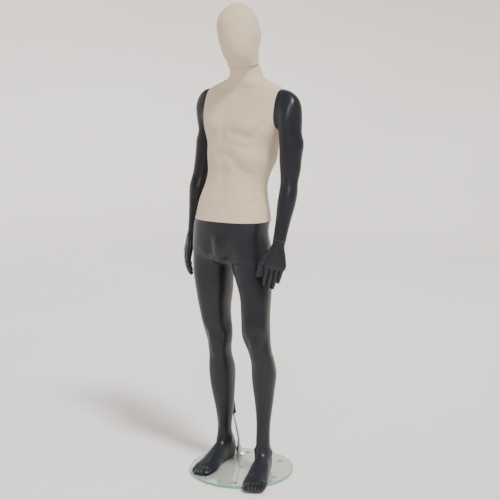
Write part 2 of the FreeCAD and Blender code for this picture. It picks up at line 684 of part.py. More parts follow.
body, sketch = new_body("glass_base", "XY_Plane")
sketch_circle(sketch, "glass_radius")
sketch_circle(sketch, "bolt_radius+bolt_clearance", "rod_x", "rod_y")
disc = pad(body, sketch, "glass_thickness")
doc.recompute()
edge = body.newObject("PartDesign::Chamfer", "glass_edge_polish")
rims = ["Edge%d" % (k + 1) for k, e in enumerate(disc.Shape.Edges)
        if len(e.Vertexes) == 1 and abs(e.Curve.Radius - size("glass_radius")) < 0.01]
edge.Base = (disc, rims)
edge.setExpression("Size", S("glass_edge"))
body.Tip = edge
body.Placement.Base = V(0, 0, size("pad_height"))

body, sketch = new_body("centre_pad", "XY_Plane")
sketch_circle(sketch, "pad_radius")
pad(body, sketch, "pad_height")
ring_pads = [cylinder("ring_pad%d" % k, "pad_radius", "pad_height",
                      "pad_circle*cos(%d deg)" % (60 * k), "pad_circle*sin(%d deg)" % (60 * k))
             for k in range(6)]
pads = doc.addObject("Part::Compound", "pads_set")
pads.Links = ring_pads
finish(pads, "rim_pads")

body, sketch = new_body("base_flange", "XZ_Plane")
revolve(body, sketch, [
    ("bolt_radius+0.3", "0"), ("flange_radius", "0"), ("flange_radius", "flange_rim"),
    ("flange_top_radius", "flange_height"), ("bolt_radius+0.3", "flange_height")])
body.Placement.Base = ROD_FOOT + V(0, 0, glass_top)

body, sketch = new_body("rod_holder", "XZ_Plane")
revolve(body, sketch, [
    ("bolt_radius", "0"), ("holder_radius", "0"), ("holder_radius", "holder_height-1.5"),
    ("holder_radius-1.5", "holder_height"), ("neck_radius", "holder_height"),
    ("neck_radius", "holder_height+neck_height"),
    ("rod_radius", "holder_height+neck_height"), ("rod_radius", "holder_floor-flange_height"),
    ("bolt_radius", "holder_floor-flange_height")])
body.Placement.Base = ROD_FOOT + V(0, 0, glass_top + size("flange_height"))

body, sketch = new_body("flange_washer", "XY_Plane")
sketch_circle(sketch, "washer_radius")
sketch_circle(sketch, "bolt_radius+0.2")
pad(body, sketch, "washer_thickness")
body.Placement.Base = ROD_FOOT + V(0, 0, size("pad_height") - size("washer_thickness"))

shank = cylinder("flange_bolt_shank", "bolt_radius", "glass_thickness+washer_thickness+holder_floor-0.5",
                 z="pad_height-washer_thickness")
head = cylinder("flange_bolt_head", "bolt_head_radius", "bolt_head_height",
                z="pad_height-washer_thickness-bolt_head_height")
finish(fused("flange_bolt_body", [shank, head]), "flange_bolt", frame_at(ROD_FOOT, V(0, 0, 1)))

# The set screw comes in from the side of the holder's neck and presses on the rod.
set_screw = cylinder("set_screw_body", "set_screw_radius", "set_screw_length")
hex_key = doc.addObject("Part::Prism", "set_screw_hex")
bind(hex_key, Circumradius=S("set_screw_radius*0.6"), Height=S("set_screw_length/2"))
hex_key.setExpression("Placement.Base.z", S("set_screw_length/2"))
screw_height = glass_top + size("flange_height") + size("holder_height") + size("neck_height") / 2
screw_side = V(cos(radians(size("set_screw_heading"))), sin(radians(size("set_screw_heading"))), 0)
finish(cut_from("set_screw_cut", set_screw, [hex_key]), "rod_set_screw",
       frame_at(ROD_FOOT + V(0, 0, screw_height) + screw_side * size("rod_radius"), screw_side))

lower_run = cylinder("rod_lower", "rod_radius", "rod_straight")
elbow = doc.addObject("Part::Torus", "rod_elbow")
bind(elbow, Radius1=S("rod_bend"), Radius2=S("rod_radius"), Angle3=S("rod_lean"))
upper_run = cylinder("rod_upper_run", "rod_radius", "rod_upper")
# Local X of the rod points the way it leans.
elbow.Placement = FreeCAD.Placement(V(size("rod_bend"), 0, size("rod_straight")),
                                    FreeCAD.Rotation(V(-1, 0, 0), V(0, 0, 1), V(0, 1, 0), "XZY"))
upper_run.Placement = FreeCAD.Placement(
    V(bend_run, 0, size("rod_straight") + size("rod_bend") * sin(lean)),
    FreeCAD.Rotation(V(0, 1, 0), size("rod_lean")))
rod_turn = FreeCAD.Rotation(V(0, 0, 1), size("rod_heading"))
rod_frame = FreeCAD.Placement(ROD_FOOT + V(0, 0, rod_foot), rod_turn)
finish(fused("rod_body", [lower_run, elbow, upper_run]), "calf_rod", rod_frame)

body, sketch = new_body("calf_socket", "XZ_Plane")
revolve(body, sketch, [
    ("rod_radius+rod_clearance", "ferrule_length"), ("socket_radius", "ferrule_length"),
    ("socket_radius", "socket_length"), ("0", "socket_length"),
    ("0", "socket_length-socket_end_wall"), ("rod_radius+rod_clearance", "socket_length-socket_end_wall")])
body.Placement = SOCKET_FRAME
body, sketch = new_body("calf_ferrule", "XZ_Plane")
revolve(body, sketch, [
    ("rod_radius+rod_clearance", "-2"), ("ferrule_radius", "-2"), ("ferrule_radius", "0"),
    ("socket_radius", "0"), ("socket_radius", "ferrule_length"),
    ("rod_radius+rod_clearance", "ferrule_length")])
body.Placement = SOCKET_FRAME

doc.recompute()


# ---------------------------------------------------------------- check and write
os.makedirs("parts", exist_ok=True)
failed = [o.Name for o in doc.Objects if "Invalid" in o.State or "Error" in o.State]
if failed:
    raise RuntimeError("failed objects: %s" % failed)
for node in NODES:
    shape = node.Shape
    if shape.isNull() or not shape.isValid():
        raise RuntimeError("bad shape: %s" % node.Label)
for node in NODES:
    node.Shape.exportStep("parts/%s.step" % node.Label)
    print(node.Label, len(node.Shape.Solids), "solids, cm3:", round(node.Shape.Volume / 1000, 1))
print(len(NODES), "nodes")
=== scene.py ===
"""Looks of the linen-covered display mannequin on its round glass stand.

Everything is in metres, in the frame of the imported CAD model: +Z up, the chest faces -Y and the
figure's left side is +X. The body is made from the CAD shells: they are joined, remeshed fine,
smoothed, sculpted with soft brushes and parted again at the seams.
"""

import json
import math

import bmesh
import bpy
import numpy as np
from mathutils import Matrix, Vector

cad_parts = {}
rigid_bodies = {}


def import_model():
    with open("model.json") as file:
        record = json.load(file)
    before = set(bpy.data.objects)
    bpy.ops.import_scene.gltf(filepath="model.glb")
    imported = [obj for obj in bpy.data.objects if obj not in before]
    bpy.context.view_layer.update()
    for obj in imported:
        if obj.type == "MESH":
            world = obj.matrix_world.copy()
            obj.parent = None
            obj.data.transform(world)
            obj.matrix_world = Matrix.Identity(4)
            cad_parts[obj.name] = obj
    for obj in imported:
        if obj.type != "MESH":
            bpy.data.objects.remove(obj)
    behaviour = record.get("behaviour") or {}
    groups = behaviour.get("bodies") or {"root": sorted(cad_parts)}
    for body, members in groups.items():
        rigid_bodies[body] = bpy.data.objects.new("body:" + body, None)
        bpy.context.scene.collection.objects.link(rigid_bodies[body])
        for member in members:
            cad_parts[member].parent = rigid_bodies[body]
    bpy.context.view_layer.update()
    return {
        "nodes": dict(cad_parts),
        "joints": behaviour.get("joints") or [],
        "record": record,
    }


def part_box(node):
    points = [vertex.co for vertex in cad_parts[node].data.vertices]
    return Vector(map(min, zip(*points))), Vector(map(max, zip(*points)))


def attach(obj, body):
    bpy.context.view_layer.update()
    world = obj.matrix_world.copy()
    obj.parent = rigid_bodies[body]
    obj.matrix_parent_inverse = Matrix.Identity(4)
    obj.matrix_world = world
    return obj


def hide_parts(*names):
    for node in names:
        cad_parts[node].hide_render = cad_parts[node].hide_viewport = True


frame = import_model()
NODES = frame["nodes"]
JOINTS = {joint["name"]: joint for joint in frame["joints"]}

# ---------------------------------------------------------------- the figure's own directions
SEAM_GAP = 0.0005
RIM_TOLERANCE = 5e-5  # how near a seam's plane a cut's points lie
CAP_BAND = 8e-4  # how near it the points of a CAD cut face lie
WRIST_REACH = 0.05
SHOULDER_TURN = math.radians(-4)
NECK_TILT = math.radians(13)
LEFTWARD = Vector((math.cos(SHOULDER_TURN), math.sin(SHOULDER_TURN), 0))
REARWARD = Vector((-math.sin(SHOULDER_TURN), math.cos(SHOULDER_TURN), 0))
UP = Vector((0, 0, 1))
FOOT_HEADING = {"left": math.radians(28), "right": math.radians(9)}
ANKLE = {"left": (0.102, 0.011), "right": (-0.116, 0.034)}
SOLE_Z = 0.0117


class Seam:
    """A cut face: its centre, the direction from parent to child, and how far it reaches."""

    def __init__(self, centre, normal, reach, parent_seat, child_seat):
        self.centre, self.normal, self.reach = Vector(centre), Vector(normal).normalized(), reach
        self.parent_seat, self.child_seat = parent_seat, child_seat

    def measure(self, points):
        """Each point's height along the seam's direction, and its distance from that axis."""
        offset = points - np.array(self.centre)
        height = offset @ np.array(self.normal)
        return height, np.linalg.norm(offset - np.outer(height, self.normal), axis=1)


# Stepped pockets behind the cut faces, as (radius, depth) steps, for the CAD fittings.
RECEIVER_SEAT = ((0.0303, 0.0034), (0.0173, 0.0142))
SPIGOT_SEAT = ((0.0303, 0.0034),)
BUSH_SEAT = ((0.0083, 0.0242),)
PEG_SEAT = ((0.0123, 0.0022), (0.0053, 0.0165))


def joint_seam(joint, normal, reach, seats=(RECEIVER_SEAT, SPIGOT_SEAT)):
    return Seam(JOINTS[joint]["pos_m"], normal, reach, *seats)


NECK_AXIS = Vector((0, -math.sin(NECK_TILT), math.cos(NECK_TILT)))
SEAMS = {
    "waist": joint_seam("torso_turn", UP, 0.185),
    "thigh": joint_seam("left_leg_turn", -UP, 0.1),
    "neck": joint_seam("head_turn", NECK_AXIS, 0.12),
    "left_shoulder": joint_seam("left_arm_turn", LEFTWARD, 0.14),
    "right_shoulder": joint_seam("right_arm_turn", -LEFTWARD, 0.14),
}
for side in ("left", "right"):
    SEAMS[side + "_wrist"] = joint_seam(
        side + "_hand_turn", JOINTS[side + "_hand_turn"]["axis"], WRIST_REACH, (BUSH_SEAT, PEG_SEAT))


# ---------------------------------------------------------------- mesh arrays
class Form:
    """A mesh as arrays: points, quads or triangles, and edges."""

    def __init__(self, points, faces):
        self.points = np.asarray(points, float)
        self.faces = np.asarray(faces, int)
        corners = self.faces.shape[1]
        pairs = np.concatenate([self.faces[:, [k, (k + 1) % corners]] for k in range(corners)])
        self.edges = np.unique(np.sort(pairs, axis=1), axis=0)

    def normals(self):
        p, f = self.points, self.faces
        cross = np.cross(p[f[:, 2]] - p[f[:, 0]], p[f[:, -1]] - p[f[:, 1]])
        total = np.zeros_like(p)
        for k in range(f.shape[1]):
            for axis in range(3):
                total[:, axis] += np.bincount(f[:, k], cross[:, axis], len(p))
        return total / np.maximum(np.linalg.norm(total, axis=1), 1e-12)[:, None]

    def relax(self, rounds, strength=0.5, mask=None):
        """Even out the surface; a negative second pass keeps the volume when mask is None."""
        n = len(self.points)
        a, b = self.edges.T
        count = np.bincount(self.edges.ravel(), minlength=n)[:, None]
        passes = [strength] if mask is not None else [strength, -strength * 1.04]
        if mask is not None:
            close = (mask[a] > 0) & (mask[b] > 0)
            count = np.bincount(self.edges[close].ravel(), minlength=n)[:, None].clip(1)
            a, b = a[close], b[close]
            mask = mask * (count[:, 0] > 2)
        weight = 1.0 if mask is None else mask[:, None]
        for _ in range(rounds):
            for amount in passes:
                p = self.points
                near = np.stack([np.bincount(a, p[b, k], n) + np.bincount(b, p[a, k], n)
                                 for k in range(3)], axis=1)
                self.points = p + (near / count - p) * amount * weight


def mesh_arrays(mesh):
    points = np.empty(len(mesh.vertices) * 3)
    mesh.vertices.foreach_get("co", points)
    loops = np.empty(len(mesh.loops), int)
    mesh.loops.foreach_get("vertex_index", loops)
    return points.reshape(-1, 3), loops


def linked(name, data):
    """A new object, linked into the scene."""
    obj = bpy.data.objects.new(name, data)
    bpy.context.scene.collection.objects.link(obj)
    return obj


def connected(count, faces):
    """A label for each point, the same throughout each connected part of the faces."""
    label = np.arange(count)
    while True:
        before = label.copy()
        low = label[faces].min(1)
        for k in range(3):
            np.minimum.at(label, faces[:, k], low)
        label = label[label]
        if (label == before).all():
            return label


def outer_skin(node):
    """The CAD node's outermost closed surface, welded: inner hollows are left out."""
    points, loops = mesh_arrays(NODES[node].data)
    _, first, index = np.unique(np.round(points * 1e6).astype(int), axis=0,
                                return_index=True, return_inverse=True)
    points, faces = points[first], index.ravel()[loops].reshape(-1, 3)
    label = connected(len(points), faces)
    names = np.unique(label[faces[:, 0]])
    spans = [np.ptp(points[label == name], axis=0).sum() for name in names]
    keep = label[faces[:, 0]] == names[int(np.argmax(spans))]
    used, faces = np.unique(faces[keep], return_inverse=True)
    return points[used], faces.reshape(-1, 3)


def push_cap(points, seam, distance):
    """Move the points of a flat cut face along the seam's direction, so that neighbours overlap."""
    height, across = seam.measure(points)
    points[(np.abs(height) < CAP_BAND) & (across < seam.reach)] += np.array(seam.normal) * distance
    return points


def plug(seam, radius, low, high, sides=48):
    """A closed cylinder that fills the pockets behind a cut face."""
    turn = seam.normal.to_track_quat("Z", "Y").to_matrix()
    ring = [(radius * math.cos(2 * math.pi * k / sides), radius * math.sin(2 * math.pi * k / sides))
            for k in range(sides)]
    points = [seam.centre + turn @ Vector((x, y, z)) for z in (low, high) for x, y in ring]
    points += [seam.centre + turn @ Vector((0, 0, z)) for z in (low, high)]
    faces = []
    for k in range(sides):
        n = (k + 1) % sides
        faces += [(k, n, sides + k), (n, sides + n, sides + k),
                  (n, k, 2 * sides), (sides + k, sides + n, 2 * sides + 1)]
    return np.array(points), np.array(faces)


def remeshed(parts, voxel):
    """One even quad skin round the union of closed meshes."""
    base, points, faces = 0, [], []
    for part_points, part_faces in parts:
        points.append(part_points)
        faces.append(part_faces + base)
        base += len(part_points)
    mesh = bpy.data.meshes.new("remesh_source")
    mesh.from_pydata(np.concatenate(points).tolist(), [], np.concatenate(faces).tolist())
    source = linked("remesh_source", mesh)
    modifier = source.modifiers.new("remesh", "REMESH")
    modifier.mode = "VOXEL"
    modifier.voxel_size = voxel
    shaped = source.evaluated_get(bpy.context.evaluated_depsgraph_get()).to_mesh()
    points, loops = mesh_arrays(shaped)
    source.to_mesh_clear()
    bpy.data.objects.remove(source)
    return Form(points, loops.reshape(-1, 4))


# ---------------------------------------------------------------- brushes
def smoothstep(x, low, high):
    t = np.clip((x - low) / (high - low), 0, 1)
    return t * t * (3 - 2 * t)


def swell(form, centre, reach, amount, normals):
    """Raise a soft round lump, or sink a hollow where amount is negative."""
    d = (form.points - np.array(centre)) / np.array(reach)
    form.points += normals * (np.exp(-(d * d).sum(1)) * amount)[:, None]


def crease(form, line, width, amount, normals):
    """Sink a soft valley, or raise a ridge, along a line of points near the skin."""
    nearest = np.full(len(form.points), 1e9)
    for a, b in zip(line, line[1:]):
        a, b = np.array(a), np.array(b)
        t = np.clip((form.points - a) @ (b - a) / ((b - a) @ (b - a)), 0, 1)
        nearest = np.minimum(nearest, np.linalg.norm(form.points - a - t[:, None] * (b - a), axis=1))
    form.points += normals * (np.exp(-(nearest / width) ** 2) * amount)[:, None]


def on_skin(form, x, z, facing=-1):
    """The skin's point at that x and height, on the front (-1) or the back (1)."""
    near = np.hypot(form.points[:, 0] - x, form.points[:, 2] - z) < 0.008
    candidates = form.points[near]
    return candidates[np.argmax(candidates[:, 1] * facing)]


def front_line(form, *spots):
    return [on_skin(form, x, z) for x, z in spots]


def back_line(form, *spots):
    return [on_skin(form, x, z, 1) for x, z in spots]


# ---------------------------------------------------------------- cutting and closing
BEVEL = 0.0011
RIM_PULL = 0.0007


def near_seam(points, seam, band):
    height, across = seam.measure(points)
    return (np.abs(height) < band) & (across < seam.reach)


def parted(form, seams, voxel):
    """Cut the form at its seams and return its loose pieces as objects, the largest first."""
    mesh = bpy.data.meshes.new("body")
    mesh.from_pydata(form.points.tolist(), [], form.faces.tolist())
    bm = bmesh.new()
    bm.from_mesh(mesh)
    bm.faces.ensure_lookup_table()
    centres = form.points[form.faces].mean(1)
    for seam in seams:
        picked = [bm.faces[k] for k in np.nonzero(near_seam(centres, seam, voxel * 3))[0]]
        geometry = list({e for f in picked for e in f.edges} | {v for f in picked for v in f.verts})
        geometry += picked
        for shift in (-BEVEL, BEVEL, 0):
            cut = bmesh.ops.bisect_plane(bm, geom=geometry, dist=1e-7, plane_no=seam.normal,
                                         plane_co=seam.centre + seam.normal * shift)
            geometry = [g for g in cut["geom"] if g.is_valid]
        edges = [e for e in cut["geom_cut"] if isinstance(e, bmesh.types.BMEdge)]
        bmesh.ops.split_edges(bm, edges=edges)
        bm.faces.ensure_lookup_table()
    bm.to_mesh(mesh)
    bm.free()
    whole = linked("body", mesh)
    for other in bpy.context.view_layer.objects:
        other.select_set(False)
    whole.select_set(True)
    bpy.context.view_layer.objects.active = whole
    bpy.ops.mesh.separate(type="LOOSE")
    pieces = [o for o in bpy.context.view_layer.objects if o.select_get()]
    return sorted(pieces, key=lambda o: -len(o.data.polygons))


def discard(objects):
    for o in objects:
        bpy.data.objects.remove(o)


def rim_of(bm, seam):
    """The open edges that lie on a seam's plane."""
    def on_plane(vertex):
        offset = vertex.co - seam.centre
        height = offset.dot(seam.normal)
        return abs(height) < RIM_TOLERANCE and (offset - seam.normal * height).length < seam.reach
    return [e for e in bm.edges if e.is_boundary and on_plane(e.verts[0]) and on_plane(e.verts[1])]


def close_cut(obj, seam, is_child):
    """Round the rim of a cut, close it with a flat face and sink the fittings' pocket in it."""
    bm = bmesh.new()
    bm.from_mesh(obj.data)
    bm.normal_update()
    rim = rim_of(bm, seam)
    fine = seam.reach == WRIST_REACH  # a wrist seam is seen edge-on: its gap and rim are finer
    gap = SEAM_GAP * (0.2 if fine else 1)
    start = seam.centre + seam.normal * (gap if is_child else 0)
    outward = -seam.normal if is_child else seam.normal
    for v in {v for e in rim for v in e.verts}:
        inward = -(v.normal - seam.normal * v.normal.dot(seam.normal)).normalized()
        v.co += inward * RIM_PULL * (0.15 if fine else 1) + (start - seam.centre)
    turn = outward.to_track_quat("Z", "Y").to_matrix()

    def circle(radius, depth, sides=40):
        angles = [2 * math.pi * k / sides for k in range(sides)]
        return [bm.verts.new(start + turn @ Vector((radius * math.cos(a), radius * math.sin(a), -depth)))
                for a in angles]

    seat = seam.child_seat if is_child else seam.parent_seat
    mouth = circle(seat[0][0], 0)
    loop = [bm.edges.new((a, b)) for a, b in zip(mouth, mouth[1:] + mouth[:1])]
    bmesh.ops.triangle_fill(bm, use_beauty=True, use_dissolve=False, edges=rim + loop, normal=outward)
    ring, level = mouth, 0
    for radius, depth in seat:
        if ring is not mouth:
            narrow = circle(radius, level)
            bridge(bm, ring, narrow)
            ring = narrow
        deep = circle(radius, depth)
        bridge(bm, ring, deep)
        ring, level = deep, depth
    bm.faces.new(ring)
    bmesh.ops.recalc_face_normals(bm, faces=bm.faces)
    bm.to_mesh(obj.data)
    bm.free()


def bridge(bm, ring, other):
    for k in range(len(ring)):
        n = (k + 1) % len(ring)
        bm.faces.new((ring[k], ring[n], other[n], other[k]))


def shade_smooth(obj, crisp_degrees=38):
    """Smooth shading with crisp edges where faces meet sharply."""
    bm = bmesh.new()
    bm.from_mesh(obj.data)
    limit = math.radians(crisp_degrees)
    for e in bm.edges:
        e.smooth = e.is_boundary or e.calc_face_angle(0) < limit
    for f in bm.faces:
        f.smooth = True
    bm.to_mesh(obj.data)
    bm.free()


# ---------------------------------------------------------------- materials
def new_material(name, **fixed):
    """A node material and its Principled shader, with constant values on the shader's sockets."""
    made = bpy.data.materials.new(name)
    made.use_nodes = True
    shader = made.node_tree.nodes["Principled BSDF"]
    for socket, value in fixed.items():
        shader.inputs[socket.replace("_", " ")].default_value = value
    return made, made.node_tree, shader


def add_node(tree, kind, values=(), **settings):
    node = tree.nodes.new(kind)
    for key, value in settings.items():
        setattr(node, key, value)
    for socket, value in dict(values).items():
        node.inputs[socket].default_value = value
    return node


def noise(tree, vector, scale, detail=3.0, roughness=0.5):
    node = add_node(tree, "ShaderNodeTexNoise",
                    {"Scale": scale, "Detail": detail, "Roughness": roughness})
    tree.links.new(vector, node.inputs["Vector"])
    return node.outputs["Fac"]


def ramp(tree, source, stops):
    """A colour ramp over (position, colour) stops."""
    node = tree.nodes.new("ShaderNodeValToRGB")
    elements = node.color_ramp.elements
    while len(elements) < len(stops):
        elements.new(0.5)
    for element, (position, colour) in zip(elements, stops):
        element.position = position
        element.color = (*colour, 1)
    tree.links.new(source, node.inputs["Fac"])
    return node.outputs["Color"]


def level(tree, source, low, high, start=0.0, end=1.0):
    """A value remapped linearly."""
    node = add_node(tree, "ShaderNodeMapRange",
                    {"From Min": start, "From Max": end, "To Min": low, "To Max": high})
    tree.links.new(source, node.inputs["Value"])
    return node.outputs["Result"]


def maths(tree, operation, first, second):
    node = add_node(tree, "ShaderNodeMath", operation=operation)
    for k, value in enumerate((first, second)):
        if isinstance(value, (int, float)):
            node.inputs[k].default_value = value
        else:
            tree.links.new(value, node.inputs[k])
    return node.outputs["Value"]


def bump(tree, shader, height, strength, distance):
    node = add_node(tree, "ShaderNodeBump", {"Strength": strength, "Distance": distance})
    tree.links.new(height, node.inputs["Height"])
    tree.links.new(node.outputs["Normal"], shader.inputs["Normal"])


def place(tree):
    return tree.nodes.new("ShaderNodeTexCoord").outputs["Object"]


def lacquer():
    """Satin anthracite lacquer sprayed on a moulded shell."""
    made, tree, shader = new_material("anthracite_lacquer", Coat_Weight=0.06, Coat_Roughness=0.25,
                                      Specular_IOR_Level=0.30)
    where = place(tree)
    cloud = noise(tree, where, 7.0, 4.0)
    tint = ramp(tree, cloud, ((0.3, (0.0075, 0.0092, 0.0130)), (0.7, (0.0105, 0.0125, 0.0170))))
    tree.links.new(tint, shader.inputs["Base Color"])
    haze = noise(tree, where, 60.0, 4.0, 0.6)
    tree.links.new(level(tree, haze, 0.33, 0.42), shader.inputs["Roughness"])
    peel = noise(tree, where, 900.0, 2.0)
    bump(tree, shader, peel, 0.12, 0.0002)
    return made


def linen():
    """Fine plain-woven linen, its threads laid along the cover's own weave map."""
    made, tree, shader = new_material("linen", Sheen_Weight=0.25, Sheen_Roughness=0.45,
                                      Specular_IOR_Level=0.25)
    weave_map = add_node(tree, "ShaderNodeUVMap", uv_map="weave").outputs["UV"]
    split = tree.nodes.new("ShaderNodeSeparateXYZ")
    tree.links.new(weave_map, split.inputs["Vector"])
    across, up = split.outputs["X"], split.outputs["Y"]
    pitch = 0.0009
    turn = 2 * math.pi / pitch
    warp = maths(tree, "SINE", maths(tree, "MULTIPLY", across, turn), 0)
    weft = maths(tree, "SINE", maths(tree, "MULTIPLY", up, turn), 0)
    checks = maths(tree, "MULTIPLY", warp, weft)
    slub = []
    for stretch in ((1500, 45, 1), (45, 1500, 1)):
        squeeze = add_node(tree, "ShaderNodeVectorMath", operation="MULTIPLY")
        tree.links.new(weave_map, squeeze.inputs[0])
        squeeze.inputs[1].default_value = stretch
        slub.append(noise(tree, squeeze.outputs["Vector"], 1.0, 2.0, 0.6))
    threads = maths(tree, "ADD", slub[0], slub[1])
    cloud = noise(tree, place(tree), 5.0, 4.0, 0.55)
    shade = maths(tree, "ADD", maths(tree, "MULTIPLY", threads, 0.32),
                  maths(tree, "MULTIPLY", cloud, 0.36))
    tint = ramp(tree, shade, ((0.30, (0.51, 0.40, 0.270)), (0.50, (0.59, 0.475, 0.33)),
                              (0.70, (0.66, 0.55, 0.40))))
    tree.links.new(tint, shader.inputs["Base Color"])
    tree.links.new(level(tree, threads, 0.82, 0.95, 0.6, 1.4), shader.inputs["Roughness"])
    relief = maths(tree, "ADD", maths(tree, "MULTIPLY", checks, 0.25), threads)
    bump(tree, shader, relief, 0.35, 0.0003)
    return made


def raw_shell():
    made, tree, shader = new_material("inner_shell", Specular_IOR_Level=0.4)
    where = place(tree)
    tint = ramp(tree, noise(tree, where, 18.0, 5.0),
                ((0.35, (0.50, 0.45, 0.38)), (0.65, (0.60, 0.55, 0.47))))
    tree.links.new(tint, shader.inputs["Base Color"])
    grain = noise(tree, where, 240.0, 3.0)
    tree.links.new(level(tree, grain, 0.55, 0.75), shader.inputs["Roughness"])
    bump(tree, shader, grain, 0.3, 0.0003)
    return made


def metal(name, low, high, rough_low, rough_high, grain_scale):
    made, tree, shader = new_material(name, Metallic=1.0)
    where = place(tree)
    cloud = noise(tree, where, 35.0, 3.0)
    tree.links.new(ramp(tree, cloud, ((0.3, low), (0.7, high))), shader.inputs["Base Color"])
    grain = noise(tree, where, grain_scale, 4.0, 0.6)
    tree.links.new(level(tree, grain, rough_low, rough_high), shader.inputs["Roughness"])
    bump(tree, shader, grain, 0.04, 0.0001)
    return made


def glass():
    """Clear float glass, greener towards its polished edge."""
    made, tree, shader = new_material("float_glass", IOR=1.5)
    where = place(tree)
    split = tree.nodes.new("ShaderNodeSeparateXYZ")
    tree.links.new(where, split.inputs["Vector"])
    square = [maths(tree, "MULTIPLY", split.outputs[k], split.outputs[k]) for k in "XY"]
    radius = maths(tree, "SQRT", maths(tree, "ADD", *square), 0)
    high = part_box("glass_base")[1].x
    edge = level(tree, radius, 0.0, 1.0, high - 0.003, high - 0.0008)
    tint = ramp(tree, edge, ((0.0, (0.93, 0.975, 0.955)), (1.0, (0.15, 0.50, 0.38))))
    tree.links.new(tint, shader.inputs["Base Color"])
    tree.links.new(level(tree, edge, 1.0, 0.35), shader.inputs["Transmission Weight"])
    smear = noise(tree, where, 9.0, 4.0, 0.6)
    tree.links.new(level(tree, smear, 0.0, 0.035, 0.35, 0.75), shader.inputs["Roughness"])
    return made


def clear_pad():
    made, tree, shader = new_material("clear_rubber", IOR=1.3)
    where = place(tree)
    cloud = noise(tree, where, 120.0, 3.0)
    tree.links.new(ramp(tree, cloud, ((0.3, (0.84, 0.88, 0.86)), (0.7, (0.91, 0.93, 0.92)))),
                   shader.inputs["Base Color"])
    tree.links.new(level(tree, cloud, 0.2, 0.35), shader.inputs["Roughness"])
    return made


MATERIALS = {
    "anthracite_lacquer": lacquer(),
    "linen": linen(),
    "inner_shell": raw_shell(),
    "chrome": metal("chrome", (0.70, 0.71, 0.72), (0.80, 0.81, 0.82), 0.05, 0.13, 160.0),
    "steel": metal("bright_zinc", (0.50, 0.51, 0.52), (0.63, 0.64, 0.65), 0.25, 0.4, 420.0),
    "glass": glass(),
    "clear_rubber": clear_pad(),
}
SLOT_OF = {part["node"]: part["material_slot"] for part in frame["record"]["subparts"]}
for name, node in NODES.items():
    node.data.materials.clear()
    node.data.materials.append(MATERIALS[SLOT_OF[name]])


def finish_piece(obj, name, body, slot, nodes):
    """Name a sculpted piece, give it its material and let it stand for CAD nodes."""
    obj.name = obj.data.name = name
    obj.data.materials.clear()
    obj.data.materials.append(MATERIALS[slot])
    shade_smooth(obj)
    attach(obj, body)
    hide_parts(*nodes)
    return obj


# ---------------------------------------------------------------- trunk, head and legs
CORE_VOXEL = 0.0038
OVERLAP = 0.002
SHOULDER_OVERLAP = 0.010
FITTING_RADIUS, FITTING_DEPTH = 0.032, 0.018
# The calf rod's socket: its mouth, and its axis along the figure's lift.
SOCKET = Seam((-0.1108, 0.0796, 0.2141), JOINTS["figure_lift"]["axis"], 0.02, (), ())


def solid_egg(points, faces):
    """The outward half of a hollow convex shell, its fitting hole closed with a fan."""
    middle = (points.max(0) + points.min(0)) / 2
    a, b, c = points[faces[:, 0]], points[faces[:, 1]], points[faces[:, 2]]
    faces = faces[((np.cross(b - a, c - a) * ((a + b + c) / 3 - middle)).sum(1)) > 0]
    label = connected(len(points), faces)
    names, sizes = np.unique(label[faces[:, 0]], return_counts=True)
    faces = faces[label[faces[:, 0]] == names[int(np.argmax(sizes))]]
    ways = {(int(u), int(v)) for f in faces for u, v in ((f[0], f[1]), (f[1], f[2]), (f[2], f[0]))}
    rim = [(u, v) for u, v in ways if (v, u) not in ways]
    hub = points[[u for u, _ in rim]].mean(0)
    fan = np.array([(v, u, len(points)) for u, v in rim])
    return np.vstack([points, hub]), np.vstack([faces, fan])


def core_form():
    """Torso, head, pelvis and legs as one skin, joined across their seams."""
    torso = outer_skin("torso_shell")
    push_cap(torso[0], SEAMS["waist"], -OVERLAP)
    push_cap(torso[0], SEAMS["neck"], OVERLAP)
    push_cap(torso[0], SEAMS["left_shoulder"], SHOULDER_OVERLAP)
    push_cap(torso[0], SEAMS["right_shoulder"], SHOULDER_OVERLAP)
    head = outer_skin("head_shell")
    push_cap(head[0], SEAMS["neck"], -OVERLAP)
    head = solid_egg(*head)
    lower = outer_skin("lower_body_shell")
    push_cap(lower[0], SEAMS["waist"], OVERLAP)
    push_cap(lower[0], SEAMS["thigh"], OVERLAP)
    leg = outer_skin("left_leg_shell")
    push_cap(leg[0], SEAMS["thigh"], -OVERLAP)
    plugs = [plug(SEAMS[key], FITTING_RADIUS, -FITTING_DEPTH, FITTING_DEPTH)
             for key in ("waist", "thigh", "neck")]
    plugs += [plug(SEAMS[side + "_shoulder"], FITTING_RADIUS, -FITTING_DEPTH, 0.009)
              for side in ("left", "right")]
    plugs.append(plug(SOCKET, 0.0120, -0.021, 0.124))
    return remeshed([torso, head, lower, leg] + plugs, CORE_VOXEL)


